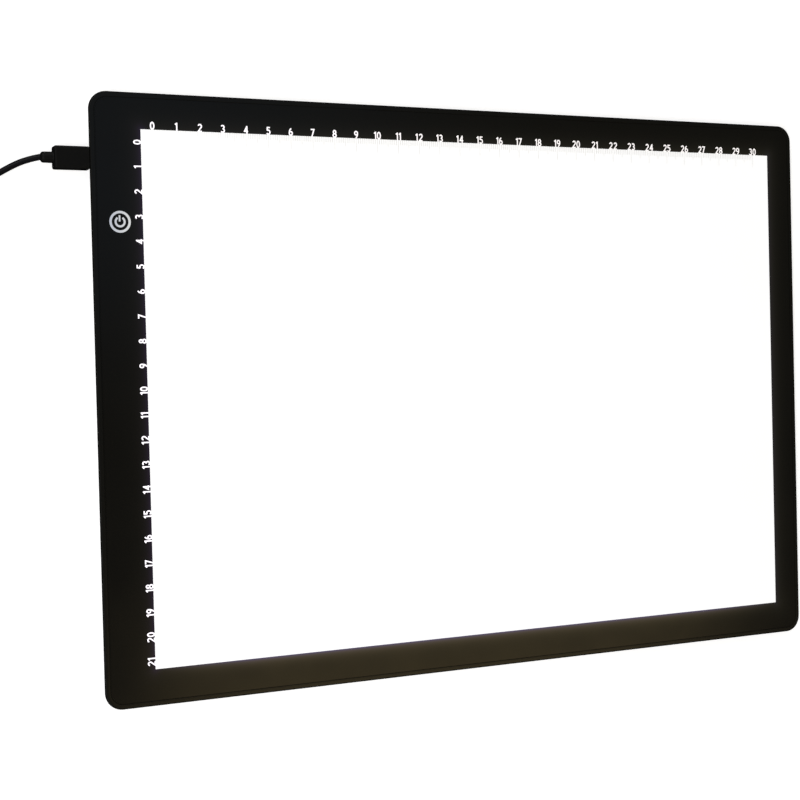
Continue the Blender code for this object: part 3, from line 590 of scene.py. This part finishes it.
def lead_black(graph):
    """Satin moulded vinyl, duller down its sides."""
    moulded(graph, 0.42, 4800, 0.000012)
    graph.wear(Specular_IOR_Level=graph.facing_up(0.0, 0.13, 0.55, 0.98))


def cord_black(graph):
    """The cord's vinyl, a little bluer than its mouldings."""
    moulded(graph, 0.38, 3800, 0.000010)
    graph.wear(Specular_IOR_Level=graph.facing_up(0.0, 0.14, 0.60, 0.98))


def strap_black(graph):
    """Hook-and-loop strap: looped pile over a weave."""
    loops = graph.add("TexVoronoi", {"Vector": graph.place(), "Scale": 3400})[0]
    pile = graph.maths("ADD", loops, graph.noise(9000, 3.0))
    tone = graph.blend(graph.ramp(pile, 0, 1, 0.4, 1.2), graph.shade(0.5), graph.shade(1.9))
    graph.wear(Base_Color=tone, Roughness=0.9, Sheen_Weight=0.25, Sheen_Roughness=0.5)
    graph.wear(Normal=graph.bump(pile, 0.00018, 0.8))


def digit_white(graph):
    """Clear figures in the black print, lit from behind, dimmer and warmer away from the edge."""
    clouds = graph.noise(300, 1.0)
    share = graph.ramp(graph.parts(graph.place())[0], 0, 1, lit_x[0], lit_x[0] + DIGIT_FADE)
    graph.wear(Base_Color=graph.blend(clouds, (0.47, 0.47, 0.48, 1), (0.52, 0.52, 0.53, 1)))
    graph.wear(Emission_Color=graph.blend(share, (0.955, 0.900, 0.975, 1), (0.73, 0.69, 0.675, 1)))
    graph.wear(Emission_Strength=1.1, Roughness=0.4)


def tick_grey(graph):
    """Fine printed lines over the lit sheet."""
    clouds = graph.noise(500, 1.0)
    share = graph.ramp(graph.parts(graph.place())[0], 0, 1, lit_x[0], lit_x[0] + TICK_FADE)
    graph.wear(Base_Color=graph.blend(clouds, (0.05, 0.05, 0.05, 1), (0.09, 0.09, 0.09, 1)))
    graph.wear(Emission_Color=graph.blend(share, (0.85, 0.85, 0.85, 1), (0.40, 0.385, 0.34, 1)))
    graph.wear(Emission_Strength=1.0, Roughness=0.5)


def symbol_blue(graph):
    """The touch symbol's cool white, a little brighter away from the edge."""
    reach = OUTER_RING_RADIUS + OUTER_RING_STROKE
    limits = (touch_place.x - reach, touch_place.x + reach)
    share = graph.ramp(graph.parts(graph.place())[0], 0, 1, *limits)
    glow = graph.blend(share, (0.42, 0.45, 0.52, 1), (0.64, 0.65, 0.63, 1))
    graph.wear(Base_Color=(0.10, 0.10, 0.12, 1), Emission_Color=glow, Emission_Strength=1.0)
    graph.wear(Roughness=graph.ramp(graph.noise(900), 0.25, 0.35))


def phosphor(graph):
    """Yellow gel over a lit LED chip."""
    clouds = graph.noise(2500, 1.0)
    graph.wear(Base_Color=graph.blend(clouds, (0.78, 0.62, 0.10, 1), (0.86, 0.72, 0.18, 1)))
    graph.wear(Emission_Color=(1.0, 0.92, 0.70, 1), Emission_Strength=0.8, Roughness=0.35)


def finished(name, dress, *settings):
    """A new material, dressed by a function."""
    made = bpy.data.materials.new(name)
    dress(Graph(made, "Principled BSDF", COLOURS.get(name)), *settings)
    return made


FINISHES = {name: finished(name, moulded, *settings) for name, settings in MOULDED.items()}
FINISHES.update({name: finished(name, brushed, *settings) for name, settings in METALS.items()})
for maker in (
    tray_black, print_black, opal_white, clear_acrylic, board_green, foam_grey, tape_black,
    lead_black, cord_black, strap_black, digit_white, tick_grey, symbol_blue, phosphor,
):
    FINISHES[maker.__name__] = finished(maker.__name__, maker)


def dress_nodes():
    """Give every CAD node the finish that the record names for it."""
    for row in frame["record"]["subparts"]:
        for holder in frame["nodes"][row["node"]].material_slots:
            holder.material = FINISHES[row["material_slot"]]


# Shapes


def arc(centre, radii, start, end, steps):
    """Points on part of an ellipse, between two angles in degrees."""
    (middle_x, middle_y), (reach_x, reach_y) = centre, radii
    points = []
    for number in range(steps + 1):
        angle = math.radians(start + (end - start) * number / steps)
        points.append((middle_x + reach_x * math.cos(angle), middle_y + reach_y * math.sin(angle)))
    return points


def about(middle, width):
    """Limits on both sides of a middle."""
    return (middle - width / 2, middle + width / 2)


def inset(limits, by):
    """Limits drawn in at both ends."""
    return (limits[0] + by, limits[1] - by)


def rounded(x, y, corner, steps=CORNER_STEPS):
    """A rounded rectangle, counter-clockwise from the foot of its top right corner."""
    inner_x = inset(x, corner)
    inner_y = inset(y, corner)
    points = []
    for turn, (end_x, end_y) in enumerate(((1, 1), (0, 1), (0, 0), (1, 0))):
        centre = (inner_x[end_x], inner_y[end_y])
        points += arc(centre, (corner, corner), 90 * turn, 90 * turn + 90, steps)
    return points


def seamed(x, y, corner, steps):
    """A rounded section with a fine seam half-way up each side."""
    points = rounded(x, y, corner, steps)
    half = len(points) // 2
    middle = sum(y) / 2
    low, high = about(middle, SEAM_WIDTH)
    right = [(x[1], low), (x[1] - SEAM_DEPTH, middle), (x[1], high)]
    left = [(x[0], high), (x[0] + SEAM_DEPTH, middle), (x[0], low)]
    return points[:half] + left + points[half:] + right


def fillet(radius, steps=FILLET_STEPS):
    """How far a rounded edge is drawn in at each step back from its end."""
    turns = [math.pi / 2 * number / steps for number in range(steps + 1)]
    return [(radius * (1 - math.cos(turn)), radius * (1 - math.sin(turn))) for turn in turns]


def loft(loops, ring=False):
    """A skin over loops of equally many points, closed by end caps or back to its first loop."""
    mesh = bmesh.new()
    rows = [[mesh.verts.new(point) for point in loop] for loop in loops]
    pairs = list(zip(rows, rows[1:]))
    if ring:
        pairs.append((rows[-1], rows[0]))
    for first, second in pairs:
        for index in range(len(first)):
            after = (index + 1) % len(first)
            mesh.faces.new((first[index], first[after], second[after], second[index]))
    if not ring:
        mesh.faces.new(reversed(rows[0]))
        mesh.faces.new(rows[-1])
    bmesh.ops.recalc_face_normals(mesh, faces=mesh.faces)
    return mesh


def plate(outline, ends, axis):
    """A plate with an outline, between two ends along an axis."""
    return loft([[(*point[:axis], end, *point[axis:]) for point in outline] for end in ends])


def boxes(limits):
    """Separate boxes in one mesh, each from its limits by axis."""
    mesh = bmesh.new()
    for x, y, z in limits:
        made = bmesh.ops.create_cube(mesh, size=1.0)["verts"]
        bmesh.ops.scale(mesh, vec=(x[1] - x[0], y[1] - y[0], z[1] - z[0]), verts=made)
        bmesh.ops.translate(mesh, vec=(sum(x) / 2, sum(y) / 2, sum(z) / 2), verts=made)
    return mesh


def turned(profile):
    """A solid of revolution about the first axis, from (radius, along) points."""
    loops = []
    for radius, along in profile:
        ring = arc((0, 0), (radius, radius), 0, 360, ROUND_SIDES)[:-1]
        loops.append([(along, *point) for point in ring])
    return loft(loops)


def section_loops(stations, across, up, corner, outline=seamed, steps=FILLET_STEPS):
    """Sections of a moulding, one at each (along, drawn in across, drawn in up)."""
    loops = []
    for along, in_across, in_up in stations:
        tight = max(corner - min(in_across, in_up), corner / 4)
        ring = outline(inset(across, in_across), inset(up, in_up), tight, steps)
        loops.append([(along, *point) for point in ring])
    return loops


def mesh_data(mesh, name="temporary"):
    """A mesh that is ready, as data for an object."""
    data = bpy.data.meshes.new(name)
    mesh.to_mesh(data)
    mesh.free()
    return data


def piece(name, mesh, body, finish, stands_for=(), place=None, slot=None):
    """Put a mesh in the scene as a named piece that rides on a body."""
    if place is not None:
        bmesh.ops.transform(mesh, matrix=place, verts=mesh.verts)
        bmesh.ops.recalc_face_normals(mesh, faces=mesh.faces)
    data = mesh_data(mesh, name)
    data.materials.append(FINISHES[finish])
    data.shade_smooth()
    data.set_sharp_from_angle(angle=SOFT_EDGE_ANGLE)
    made = put(name, data)
    slot = slot or finish
    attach(made, body)
    if stands_for:
        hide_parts(*stands_for)
    return made


def combined(mesh, tools, operation):
    """A mesh with others cut out of it or joined on."""
    base, *helpers = [put("temporary", mesh_data(shape)) for shape in (mesh, *tools)]
    for helper in helpers:
        change = base.modifiers.new("change", "BOOLEAN")
        change.operation = operation
        change.solver = "EXACT"
        change.object = helper
    shown = base.evaluated_get(bpy.context.evaluated_depsgraph_get())
    result = bmesh.new()
    result.from_mesh(shown.to_mesh())
    shown.to_mesh_clear()
    for helper in (base, *helpers):
        bpy.data.objects.remove(helper)
    return result


def cut(mesh, limits):
    """A mesh with boxes cut out of it."""
    return combined(mesh, [boxes(limits)], "DIFFERENCE")


def merged(meshes):
    """Separate shapes as one mesh."""
    whole = bmesh.new()
    for mesh in meshes:
        data = mesh_data(mesh)
        whole.from_mesh(data)
        bpy.data.meshes.remove(data)
    return whole


def even_normals(made):
    """Keep flat faces flat beside their rounded edges."""
    change = made.modifiers.new("even_normals", "WEIGHTED_NORMAL")
    change.keep_sharp = True
    return made


# Cord


def cord():
    """The lead's cord in one length: the run from the plug, the coil and the tail."""
    points, centre = cord_route()
    curve = bpy.data.curves.new("cord", "CURVE")
    curve.dimensions = "3D"
    curve.bevel_depth = CORD_DIAMETER / 2
    curve.bevel_resolution = CORD_BEVEL_STEPS
    curve.use_fill_caps = True
    spline = curve.splines.new("POLY")
    spline.points.add(len(points) - 1)
    for holder, point in zip(spline.points, points):
        holder.co = (*point, 1.0)
    spline.use_smooth = True
    curve.materials.append(FINISHES["cord_black"])
    made = put("cord", curve)
    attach(made, "lead")
    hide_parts("usb_cord", "cord_coil", "cord_tail")
    length = sum((far - near).length for near, far in zip(points, points[1:]))
    print(f"cord length {length:.4f} m")
    return made, length, centre


# Casing


def pad_ring(back, height, lean=0):
    """The pad's outline at one height, drawn in."""
    outline = rounded(inset(pad_x, back + lean), inset(pad_y, back + lean), CORNER_RADIUS - back)
    return [(*point, height) for point in outline]


def tray():
    """The rear cover: rounded base, outer wall, lip, groove wall, ledge and floor in one skin."""
    ledge = face - LEDGE_DEPTH
    upright = face - LIP_FILLET
    cavity = LIP_WIDTH + GROOVE_WIDTH + LEDGE_WIDTH
    inner = fillet(LIP_INNER_FILLET, FILLET_STEPS // 2)
    profile = [(back, pad_z[0] + up) for up, back in fillet(BASE_FILLET)]
    profile += [(back, face - up) for up, back in reversed(fillet(LIP_FILLET))]
    profile += [(LIP_WIDTH - back, face - up) for up, back in inner]
    outer = len(profile) - len(inner)
    profile += [(LIP_WIDTH, ledge), (cavity, ledge), (cavity, pad_z[0] + FLOOR_THICKNESS)]
    loops = []
    for number, (back, height) in enumerate(profile):
        lean = SIDE_TAPER * max(upright - height, 0) / (upright - pad_z[0]) if number < outer else 0
        loops.append(pad_ring(back, height, lean))
    x, y, z = [inset(limits, -SLOT_GAP) for limits in zip(*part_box("usb_socket"))]
    mesh = cut(loft(loops), [((pad_x[0] - OVERRUN, x[1]), y, z)])
    even_normals(piece("tray", mesh, "pad", "tray_black", ["rear_cover"]))


def panel_bead():
    """The bead of black adhesive that shows in the groove between the lip and the panel."""
    near, far = inset((LIP_WIDTH, LIP_WIDTH + GROOVE_WIDTH), BEAD_CLEARANCE)
    low, high = face - LEDGE_DEPTH + BEAD_CLEARANCE, face - BEAD_DEPTH
    loops = [pad_ring(*corner) for corner in ((near, low), (near, high), (far, high), (far, low))]
    piece("panel_bead", loft(loops, ring=True), "pad", "print_black")


def feet():
    """Round rubber feet, each with a shallow ring in its underside."""
    for name in ("foot_bottom_left", "foot_bottom_right", "foot_top_left", "foot_top_right"):
        x, y, z = zip(*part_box(name))
        radius = (x[1] - x[0]) / 2
        core = FOOT_CORE_SHARE * radius
        inner, outer = [share * radius for share in FOOT_RING_SHARES]
        sunk = z[0] + FOOT_RING_DEPTH
        profile = [(core, z[0]), (inner, z[0]), (inner, sunk), (outer, sunk), (outer, z[0])]
        profile += [(radius - back, z[0] + up) for back, up in reversed(fillet(FOOT_ROUNDING))]
        profile += [(radius, z[1]), (core, z[1])]
        upright = Matrix.Rotation(-math.pi / 2, 4, "Y")
        place = Matrix.Translation((sum(x) / 2, sum(y) / 2, 0)) @ upright
        piece(f"rubber_{name}", turned(profile), "pad", "rubber_black", [name], place)


# Scale and symbol


def stroke(points, width, low, high, closed=False):
    """A flat stroke along points, with mitred corners and square ends."""
    count = len(points)
    points = [Vector(point) for point in points]
    loops = []
    for index, point in enumerate(points):
        start = points[index - 1] if closed or index > 0 else point
        end = points[(index + 1) % count] if closed or index < count - 1 else point
        into = (point - start) if start != point else (end - point)
        out = (end - point) if end != point else into
        along = (into.normalized() + out.normalized()).normalized()
        side = Vector((-along.y, along.x))
        lean = side.dot(Vector((-out.y, out.x)).normalized())
        reach = side * width / 2 / max(lean, LEAST_MITRE)
        left, right = point + reach, point - reach
        loops.append([(*left, low), (*left, high), (*right, high), (*right, low)])
    return loft(loops, ring=closed)


def digit_strokes():
    """Centre lines of the ten figures, one digit high, and whether each line closes on itself."""
    return {
        "0": [(arc((0.29, 0.50), (0.21, 0.42), 0, 345, 23), True)],
        "1": [([(0.24, 0.00), (0.24, 1.00)], False), ([(0.03, 0.76), (0.24, 0.93)], False)],
        "2": [(
            arc((0.28, 0.69), (0.20, 0.23), 165, -35, 10) + [(0.07, 0.08), (0.52, 0.08)], False
        )],
        "3": [
            (arc((0.26, 0.71), (0.19, 0.21), 150, -90, 12), False),
            (arc((0.26, 0.29), (0.22, 0.21), 90, -150, 12), False),
        ],
        "4": [
            ([(0.40, 0.00), (0.40, 0.98)], False),
            ([(0.40, 0.93), (0.08, 0.32), (0.55, 0.32)], False),
        ],
        "5": [
            ([(0.49, 0.92), (0.15, 0.92), (0.12, 0.54)], False),
            (arc((0.26, 0.34), (0.22, 0.26), 130, -150, 14), False),
        ],
        "6": [
            (arc((0.29, 0.31), (0.20, 0.23), 0, 345, 23), True),
            (arc((0.42, 0.31), (0.33, 0.61), 178, 100, 8), False),
        ],
        "7": [([(0.06, 0.92), (0.50, 0.92), (0.20, 0.00)], False)],
        "8": [
            (arc((0.29, 0.71), (0.17, 0.21), 0, 345, 23), True),
            (arc((0.29, 0.29), (0.21, 0.21), 0, 345, 23), True),
        ],
        "9": [
            (arc((0.29, 0.69), (0.20, 0.23), 0, 345, 23), True),
            (arc((0.16, 0.69), (0.33, 0.61), 2, -80, 8), False),
        ],
    }


def digit_shapes():
    """One mesh for each figure, at its real size, with its left edge's place and its width."""
    shapes = {}
    for figure, lines in digit_strokes().items():
        parts = []
        for points, closed in lines:
            scaled = [(x * DIGIT_HEIGHT, y * DIGIT_HEIGHT) for x, y in points]
            parts.append(stroke(scaled, DIGIT_STROKE, 0, DIGIT_LIFT, closed))
        joined = combined(parts[0], parts[1:], "UNION") if len(parts) > 1 else parts[0]
        data = mesh_data(joined, f"figure_{figure}")
        across = [corner.co.x for corner in data.vertices]
        shapes[figure] = (data, min(across), max(across) - min(across))
    return shapes


def write_number(mesh, shapes, number, place):
    """Add one number's figures to a mesh, centred across its place."""
    figures = [shapes[figure] for figure in str(number)]
    width = sum(size for data, left, size in figures) + DIGIT_SPACE * (len(figures) - 1)
    reached = -width / 2
    for data, left, size in figures:
        start = len(mesh.verts)
        mesh.from_mesh(data)
        mesh.verts.ensure_lookup_table()
        shift = place @ Matrix.Translation((reached - left, 0, 0))
        bmesh.ops.transform(mesh, matrix=shift, verts=mesh.verts[start:])
        reached += size + DIGIT_SPACE


def scale_numbers():
    """The figures along the window's top, and the turned ones down its left side."""
    shapes = digit_shapes()
    across = [zero_x + number * CENTIMETRE for number in range(LAST_NUMBER_TOP + 1)]
    down = [zero_y - number * CENTIMETRE for number in range(LAST_NUMBER_LEFT + 1)]
    for name, places, turn in (
        ("scale_numbers_top", [(x, lit_y[1], face) for x in across], 0),
        ("scale_numbers_left", [(lit_x[0], y, face) for y in down], math.pi / 2),
    ):
        mesh = bmesh.new()
        for number, place in enumerate(places):
            turned_place = Matrix.Translation(place) @ Matrix.Rotation(turn, 4, "Z")
            write_number(mesh, shapes, number, turned_place)
        piece(name, mesh, "pad", "digit_white", slot="opal_white")


def tick_kind(number):
    """Which length of line a millimetre has: whole centimetre, plain or half."""
    if number % 10 == 0:
        return 0
    return 2 if number % 5 == 0 else 1


def scale_ticks():
    """Fine lines each millimetre, from the window's top and left edges inwards."""
    z = (face, face + TICK_LIFT)
    limits = []
    for number in range(LAST_NUMBER_TOP * 10 + 1):
        kind = tick_kind(number)
        x = about(zero_x + number * CENTIMETRE / 10, TICK_WIDTHS[kind])
        limits.append((x, (lit_y[1] - TICK_LENGTHS[kind], lit_y[1]), z))
    for number in range(LAST_NUMBER_LEFT * 10 + 1):
        kind = tick_kind(number)
        y = about(zero_y - number * CENTIMETRE / 10, TICK_WIDTHS[kind])
        limits.append(((lit_x[0], lit_x[0] + TICK_LENGTHS[kind]), y, z))
    piece("scale_ticks", boxes(limits), "pad", "tick_grey", slot="print_black")


def touch_symbol():
    """The lit ring with the power sign inside it."""
    x, y = touch_place
    outer, inner = [(radius, radius) for radius in (OUTER_RING_RADIUS, INNER_RING_RADIUS)]
    ring = arc((x, y), outer, 0, 360, OUTER_RING_SIDES)[:-1]
    power = arc((x, y), inner, 90 + INNER_RING_GAP, 450 - INNER_RING_GAP, INNER_RING_STEPS)
    bar = [(x - BAR_SHIFT, y + reach) for reach in BAR_REACH]
    for name, points, width, closed in (
        ("touch_ring", ring, OUTER_RING_STROKE, True),
        ("touch_power_ring", power, INNER_RING_STROKE, False),
        ("touch_power_bar", bar, BAR_STROKE, False),
    ):
        mesh = stroke(points, width, face, face + DIGIT_LIFT, closed)
        piece(name, mesh, "pad", "symbol_blue", slot="opal_white")


# Plugs


def end_stations(low, high, low_rounding, high_rounding):
    """Stations at both rounded ends of a moulding."""
    first = [(low + back, draw, draw) for draw, back in reversed(fillet(low_rounding))]
    last = [(high - back, draw, draw) for draw, back in fillet(high_rounding)]
    return first, last


def ribs(low, count, start, pitch, width, slope, depth):
    """Sunk bands along a moulding, as (along, sunk) points."""
    points = []
    for number in range(count):
        first = low + start + number * pitch
        last = first + width
        points += [(first, 0), (first + slope, depth), (last - slope, depth), (last, 0)]
    return points


def sheet_tube(outer, inner, ends):
    """A thin-walled tube along the first axis, from its outer and inner outlines."""
    rims = ((outer, ends[0]), (outer, ends[1]), (inner, ends[1]), (inner, ends[0]))
    loops = [[(along, *point) for point in outline] for outline, along in rims]
    return loft(loops, ring=True)


def nose_outline(y, z):
    """The micro nose's section: flat on top, with its lower corners cut off."""
    top_y, low_y = inset(y, NOSE_SHOULDER), inset(y, NOSE_CHAMFER)
    low, high = z[0] + NOSE_CHAMFER, z[1] - NOSE_SHOULDER
    return [
        (y[1], low), (y[1], high), (top_y[1], z[1]), (top_y[0], z[1]),
        (y[0], high), (y[0], low), (low_y[0], z[0]), (low_y[1], z[0]),
    ]


def micro_nose():
    """The metal nose, with two openings for the socket's catches."""
    x, y, z = zip(*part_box("plug_shell"))
    inner = nose_outline(inset(y, NOSE_WALL), inset(z, NOSE_WALL))
    start = x[1] - NOSE_WINDOW_BACK
    along = (start - NOSE_WINDOW[0], start)
    up = (z[1] - 2 * NOSE_WALL, z[1] + NOSE_WALL)
    middles = about(sum(y) / 2, NOSE_WINDOW_SPREAD)
    openings = [(along, about(middle, NOSE_WINDOW[1]), up) for middle in middles]
    mesh = cut(sheet_tube(nose_outline(y, z), inner, x), openings)
    return piece("micro_nose", mesh, "lead", "steel", ["plug_shell"])


def micro_plug():
    """The overmould, its neck and its metal nose."""
    front = pad_x[0] - PLUG_FRONT_GAP
    first, last = end_stations(plug_x[0], front, PLUG_FILLET, PLUG_FRONT_FILLET)
    body = loft(section_loops(first + last, plug_y, plug_z, PLUG_CORNER))
    made = piece("micro_plug", body, "lead", "lead_black", ["plug_body"])
    pieces = [even_normals(made), micro_nose()]
    length = neck_x[1] - neck_x[0] + CORD_GAP
    profile = [(NECK_END_RADIUS - draw, back) for draw, back in reversed(fillet(NECK_ROUNDING))]
    profile += [(NECK_RADIUS + draw, length - back) for draw, back in fillet(NECK_FLARE)]
    place = Matrix.Translation(cord_start)
    made = piece("micro_plug_neck", turned(profile), "lead", "lead_black", ["plug_relief"], place)
    return [*pieces, made]


def far_limits(node):
    """Limits of one of the far plug's nodes along, across and up, in the plug's own axes."""
    x, y, z = zip(*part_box(node))
    return y, tuple(end - far_middle.x for end in x), tuple(end - far_middle.z for end in z)


def far_plug():
    """The wide plug: gripped body, ribbed neck, metal shell, tongue and contacts."""
    along, across, up = far_limits("usb_a_body")
    first, last = end_stations(*along, FAR_FILLET, FAR_FILLET)
    grips = [(place, 0, sunk) for place, sunk in ribs(along[0], *FAR_GRIPS)]
    body = loft(section_loops(first + grips + last, across, up, FAR_CORNER))
    made = piece("far_plug_body", body, "lead", "lead_black", ["usb_a_body"], far_place)
    return [even_normals(made), far_neck(), far_shell(), *far_tongue()]


def far_neck():
    """The ribbed relief between the cord and the far plug."""
    low, high = far_limits("usb_a_relief")[0]
    profile = [(FAR_NECK_RADIUS, low)]
    for along, sunk in ribs(0, *FAR_NECK_RIBS):
        share = along / (high - low)
        radius = FAR_NECK_RADIUS + (FAR_NECK_END_RADIUS - FAR_NECK_RADIUS) * share
        profile.append((radius - sunk, low + along))
    rounding = fillet(FAR_NECK_ROUNDING)
    profile += [(FAR_NECK_END_RADIUS - draw, high - back) for draw, back in rounding]
    mesh = turned(profile)
    return piece("far_plug_neck", mesh, "lead", "lead_black", ["usb_a_relief"], far_place)


def far_shell():
    """The folded metal shell, with its two pairs of square openings."""
    along, across, up = far_limits("usb_a_shell")
    outer, inner = [
        rounded(inset(across, wall), inset(up, wall), FAR_SHELL_CORNER - wall, SMALL_CORNER_STEPS)
        for wall in (0, FAR_SHELL_WALL)
    ]
    start = along[0] + FAR_WINDOW_BACK
    openings = [
        ((start, start + FAR_WINDOW), about(centre, FAR_WINDOW), inset(up, -OVERRUN))
        for centre in about(0, FAR_WINDOW_SPREAD)
    ]
    mesh = cut(sheet_tube(outer, inner, along), openings)
    return piece("far_plug_shell", mesh, "lead", "steel", ["usb_a_shell"], far_place)


def far_tongue():
    """The white insulator with four contacts let into its upper side."""
    along, across, up = far_limits("usb_a_tongue")
    stations = [*end_stations(*along, FAR_TONGUE_FILLET, 0)[0], (along[1], 0, 0)]
    mesh = loft(section_loops(stations, across, up, FAR_TONGUE_FILLET, rounded, SMALL_CORNER_STEPS))
    tongue = piece("far_plug_tongue", mesh, "lead", "insulator_white", ["usb_a_tongue"], far_place)
    start = along[0] + CONTACT_SETBACK
    strips = []
    for centre, length in CONTACTS:
        width = about(centre, CONTACT_WIDTH)
        outline = rounded((start, start + length), width, CONTACT_WIDTH / 4, SMALL_CORNER_STEPS)
        strips.append(plate(outline, (up[1], up[1] + CONTACT_LIFT), 2))
    contacts = piece("far_plug_contacts", merged(strips), "lead", "gold", (), far_place, "steel")
    return [tongue, contacts]


def strap():
    """The strap round the coil's turns, with its end lapped over the outer side."""
    half_turns = (COIL_TURNS_PER_LAYER - 1) / 2 * coil_pitch
    low_radius = COIL_MEAN_RADIUS - half_turns
    inner_turn = math.sqrt(low_radius**2 - (STRAP_WIDTH / 2) ** 2)
    spare = CORD_DIAMETER / 2 + STRAP_FREEDOM + STRAP_THICKNESS
    out = (inner_turn - spare, COIL_MEAN_RADIUS + half_turns + spare)
    height = (COIL_LAYERS - 1) * coil_pitch + 2 * spare
    up = (STRAP_LIFT, STRAP_LIFT + height)
    width, thick, edge = STRAP_WIDTH, STRAP_THICKNESS, STRAP_EDGE
    loops = []
    for sunk, along in (
        (edge, 0), (0, edge), (0, width - edge), (edge, width),
        (thick - edge, width), (thick, width - edge), (thick, edge), (thick - edge, 0),
    ):
        outline = rounded(inset(out, sunk), inset(up, sunk), STRAP_CORNER - sunk, FILLET_STEPS)
        loops.append([(x, along - width / 2, z) for x, z in outline])
    band = loft(loops, ring=True)
    across = inset(about(0, width), STRAP_TAB_NARROWER)
    tab_up = tuple(up[0] + height * share for share in STRAP_TAB_SHARES)
    sides = ((0, -edge), (0, thick - edge), (edge, thick))
    stations = [(out[1] + along, sunk, sunk) for sunk, along in sides]
    tab = loft(section_loops(stations, across, tab_up, STRAP_TAB_CORNER, rounded))
    turn = Matrix.Rotation(COIL_ENTRY_HEADING + math.pi / 2, 4, "Z")
    place = Matrix.Translation((coil_centre.x, coil_centre.y, 0)) @ turn
    mesh = combined(band, [tab], "UNION")
    return piece("coil_strap", mesh, "lead", "strap_black", ["coil_tie"], place, "rubber_black")


# Inside


def led_windows():
    """The lit gel in the face of every LED."""
    low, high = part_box("led_strip")
    guide_low, guide_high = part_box("light_guide")
    first = low.y + LED_END_MARGIN
    pitch = (high.y - low.y - 2 * LED_END_MARGIN) / (LED_COUNT - 1)
    up = about((guide_low.z + guide_high.z) / 2, LED_WINDOW[1])
    shapes = []
    for number in range(LED_COUNT):
        along = about(first + number * pitch, LED_WINDOW[0])
        outline = rounded(along, up, LED_WINDOW_CORNER, TINY_CORNER_STEPS)
        shapes.append(plate(outline, (high.x, high.x + LED_WINDOW_LIFT), 0))
    piece("led_windows", merged(shapes), "pad", "phosphor", slot="board_white")


def leg(x, y, low, foot, out):
    """A bent metal leg from a package's side down to the board."""
    near, far = about(y, LEG_WIDTH)
    loops = []
    for share, height in zip((0, *LEG_BEND_SHARES, 1), (low, low, foot, foot)):
        along = x + out * share * LEG_REACH
        top = height + LEG_THICKNESS
        corners = ((near, height), (far, height), (far, top), (near, top))
        loops.append([(along, *corner) for corner in corners])
    return loft(loops)


def board_metal():
    """Legs of the packages and plated ends of the small parts."""
    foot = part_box("control_board")[1].z + LEG_LIFT
    shapes = []
    for part, rows in LEG_ROWS.items():
        x, y, z = zip(*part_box(part))
        for out, places in rows:
            side = x[1] if out > 0 else x[0]
            middles = [sum(y) / 2 + place * LEG_PITCH for place in places]
            shapes += [leg(side, middle, sum(z) / 2, foot, out) for middle in middles]
    piece("package_legs", merged(shapes), "pad", "steel")
    shapes = []
    for part in CAPPED_PARTS:
        x, y, z = zip(*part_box(part))
        outline = rounded(inset(x, -CAP_SKIN), inset(z, -CAP_SKIN), CAP_SKIN, TINY_CORNER_STEPS)
        for ends in ((y[0] - CAP_SKIN, y[0] + CAP_LENGTH), (y[1] - CAP_LENGTH, y[1] + CAP_SKIN)):
            shapes.append(plate(outline, ends, 1))
    piece("plated_ends", merged(shapes), "pad", "steel")


photo_camera()
cord_piece, cord_length, coil_centre = cord()
dress_nodes()
tray()
panel_bead()
feet()
scale_numbers()
scale_ticks()
touch_symbol()
lead_pieces = micro_plug() + far_plug() + [strap()]
led_windows()
board_metal()


# Studio


def floor_white(graph):
    """Plain white that keeps the object's shadow and, where it is seen, glows more far away."""
    tone = graph.blend(graph.noise(3.0), (0.80, 0.80, 0.80, 1), (0.82, 0.82, 0.82, 1))
    rays = graph.add("LightPath", {})
    seen = graph.maths("MAXIMUM", rays["Is Camera Ray"], rays["Is Glossy Ray"])
    seen = graph.maths("MAXIMUM", seen, rays["Is Transmission Ray"])
    away = graph.vectors("LENGTH", graph.place())["Value"]
    glow = graph.maths("MULTIPLY", seen, graph.ramp(away, *FLOOR_GLOWS, *FLOOR_GLOW_REACH))
    graph.wear(Base_Color=tone, Roughness=0.9, Specular_IOR_Level=0.0)
    graph.wear(Emission_Color=(1, 1, 1, 1), Emission_Strength=glow)


def floor():
    """The table under the pad."""
    mesh = bmesh.new()
    bmesh.ops.create_grid(mesh, x_segments=2, y_segments=2, size=FLOOR_REACH)
    made = put("floor", mesh_data(mesh, "floor"))
    made.data.materials.append(finished("floor_white", floor_white))


def lamps():
    """Large soft lamps that look at the pad's middle."""
    for name, place, side, power in LAMPS:
        data = bpy.data.lights.new(name, "AREA")
        data.shape = "SQUARE"
        data.size = side
        data.energy = power
        made = put(name, data)
        made.location = place
        made.rotation_mode = "QUATERNION"
        made.rotation_quaternion = Vector(place).to_track_quat("Z", "Y")


def sky():
    """White round the horizon and dim overhead, where the black border mirrors it.

    Each patch is tinted between slopes across and along: (start, full, full, end).
    """
    world = bpy.data.worlds.new("studio")
    bpy.context.scene.world = world
    graph = Graph(world, "Background")

    def step(value, start, end):
        return graph.ramp(value, 0, 1, start, end, "SMOOTHSTEP")

    x, y, z = graph.parts(graph.add("TexCoord", {})["Generated"])
    steep = graph.maths("MAXIMUM", z, SKY_LEAST_RISE)
    slopes = (graph.maths("DIVIDE", x, steep), graph.maths("DIVIDE", y, steep))
    colour = graph.blend(step(z, *SKY_RISE), SKY_HORIZON, SKY_OVERHEAD)
    for tint, *limits in SKY_PATCHES:
        share = 1.0
        for slope, (start, full, still_full, end) in zip(slopes, limits):
            share = graph.maths("MULTIPLY", share, step(slope, start, full))
            share = graph.maths("MULTIPLY", share, step(slope, end, still_full))
        colour = graph.blend(share, colour, tint)
    graph.wear(Color=colour)


floor()
lamps()
sky()
bpy.context.scene.view_settings.view_transform = "Standard"
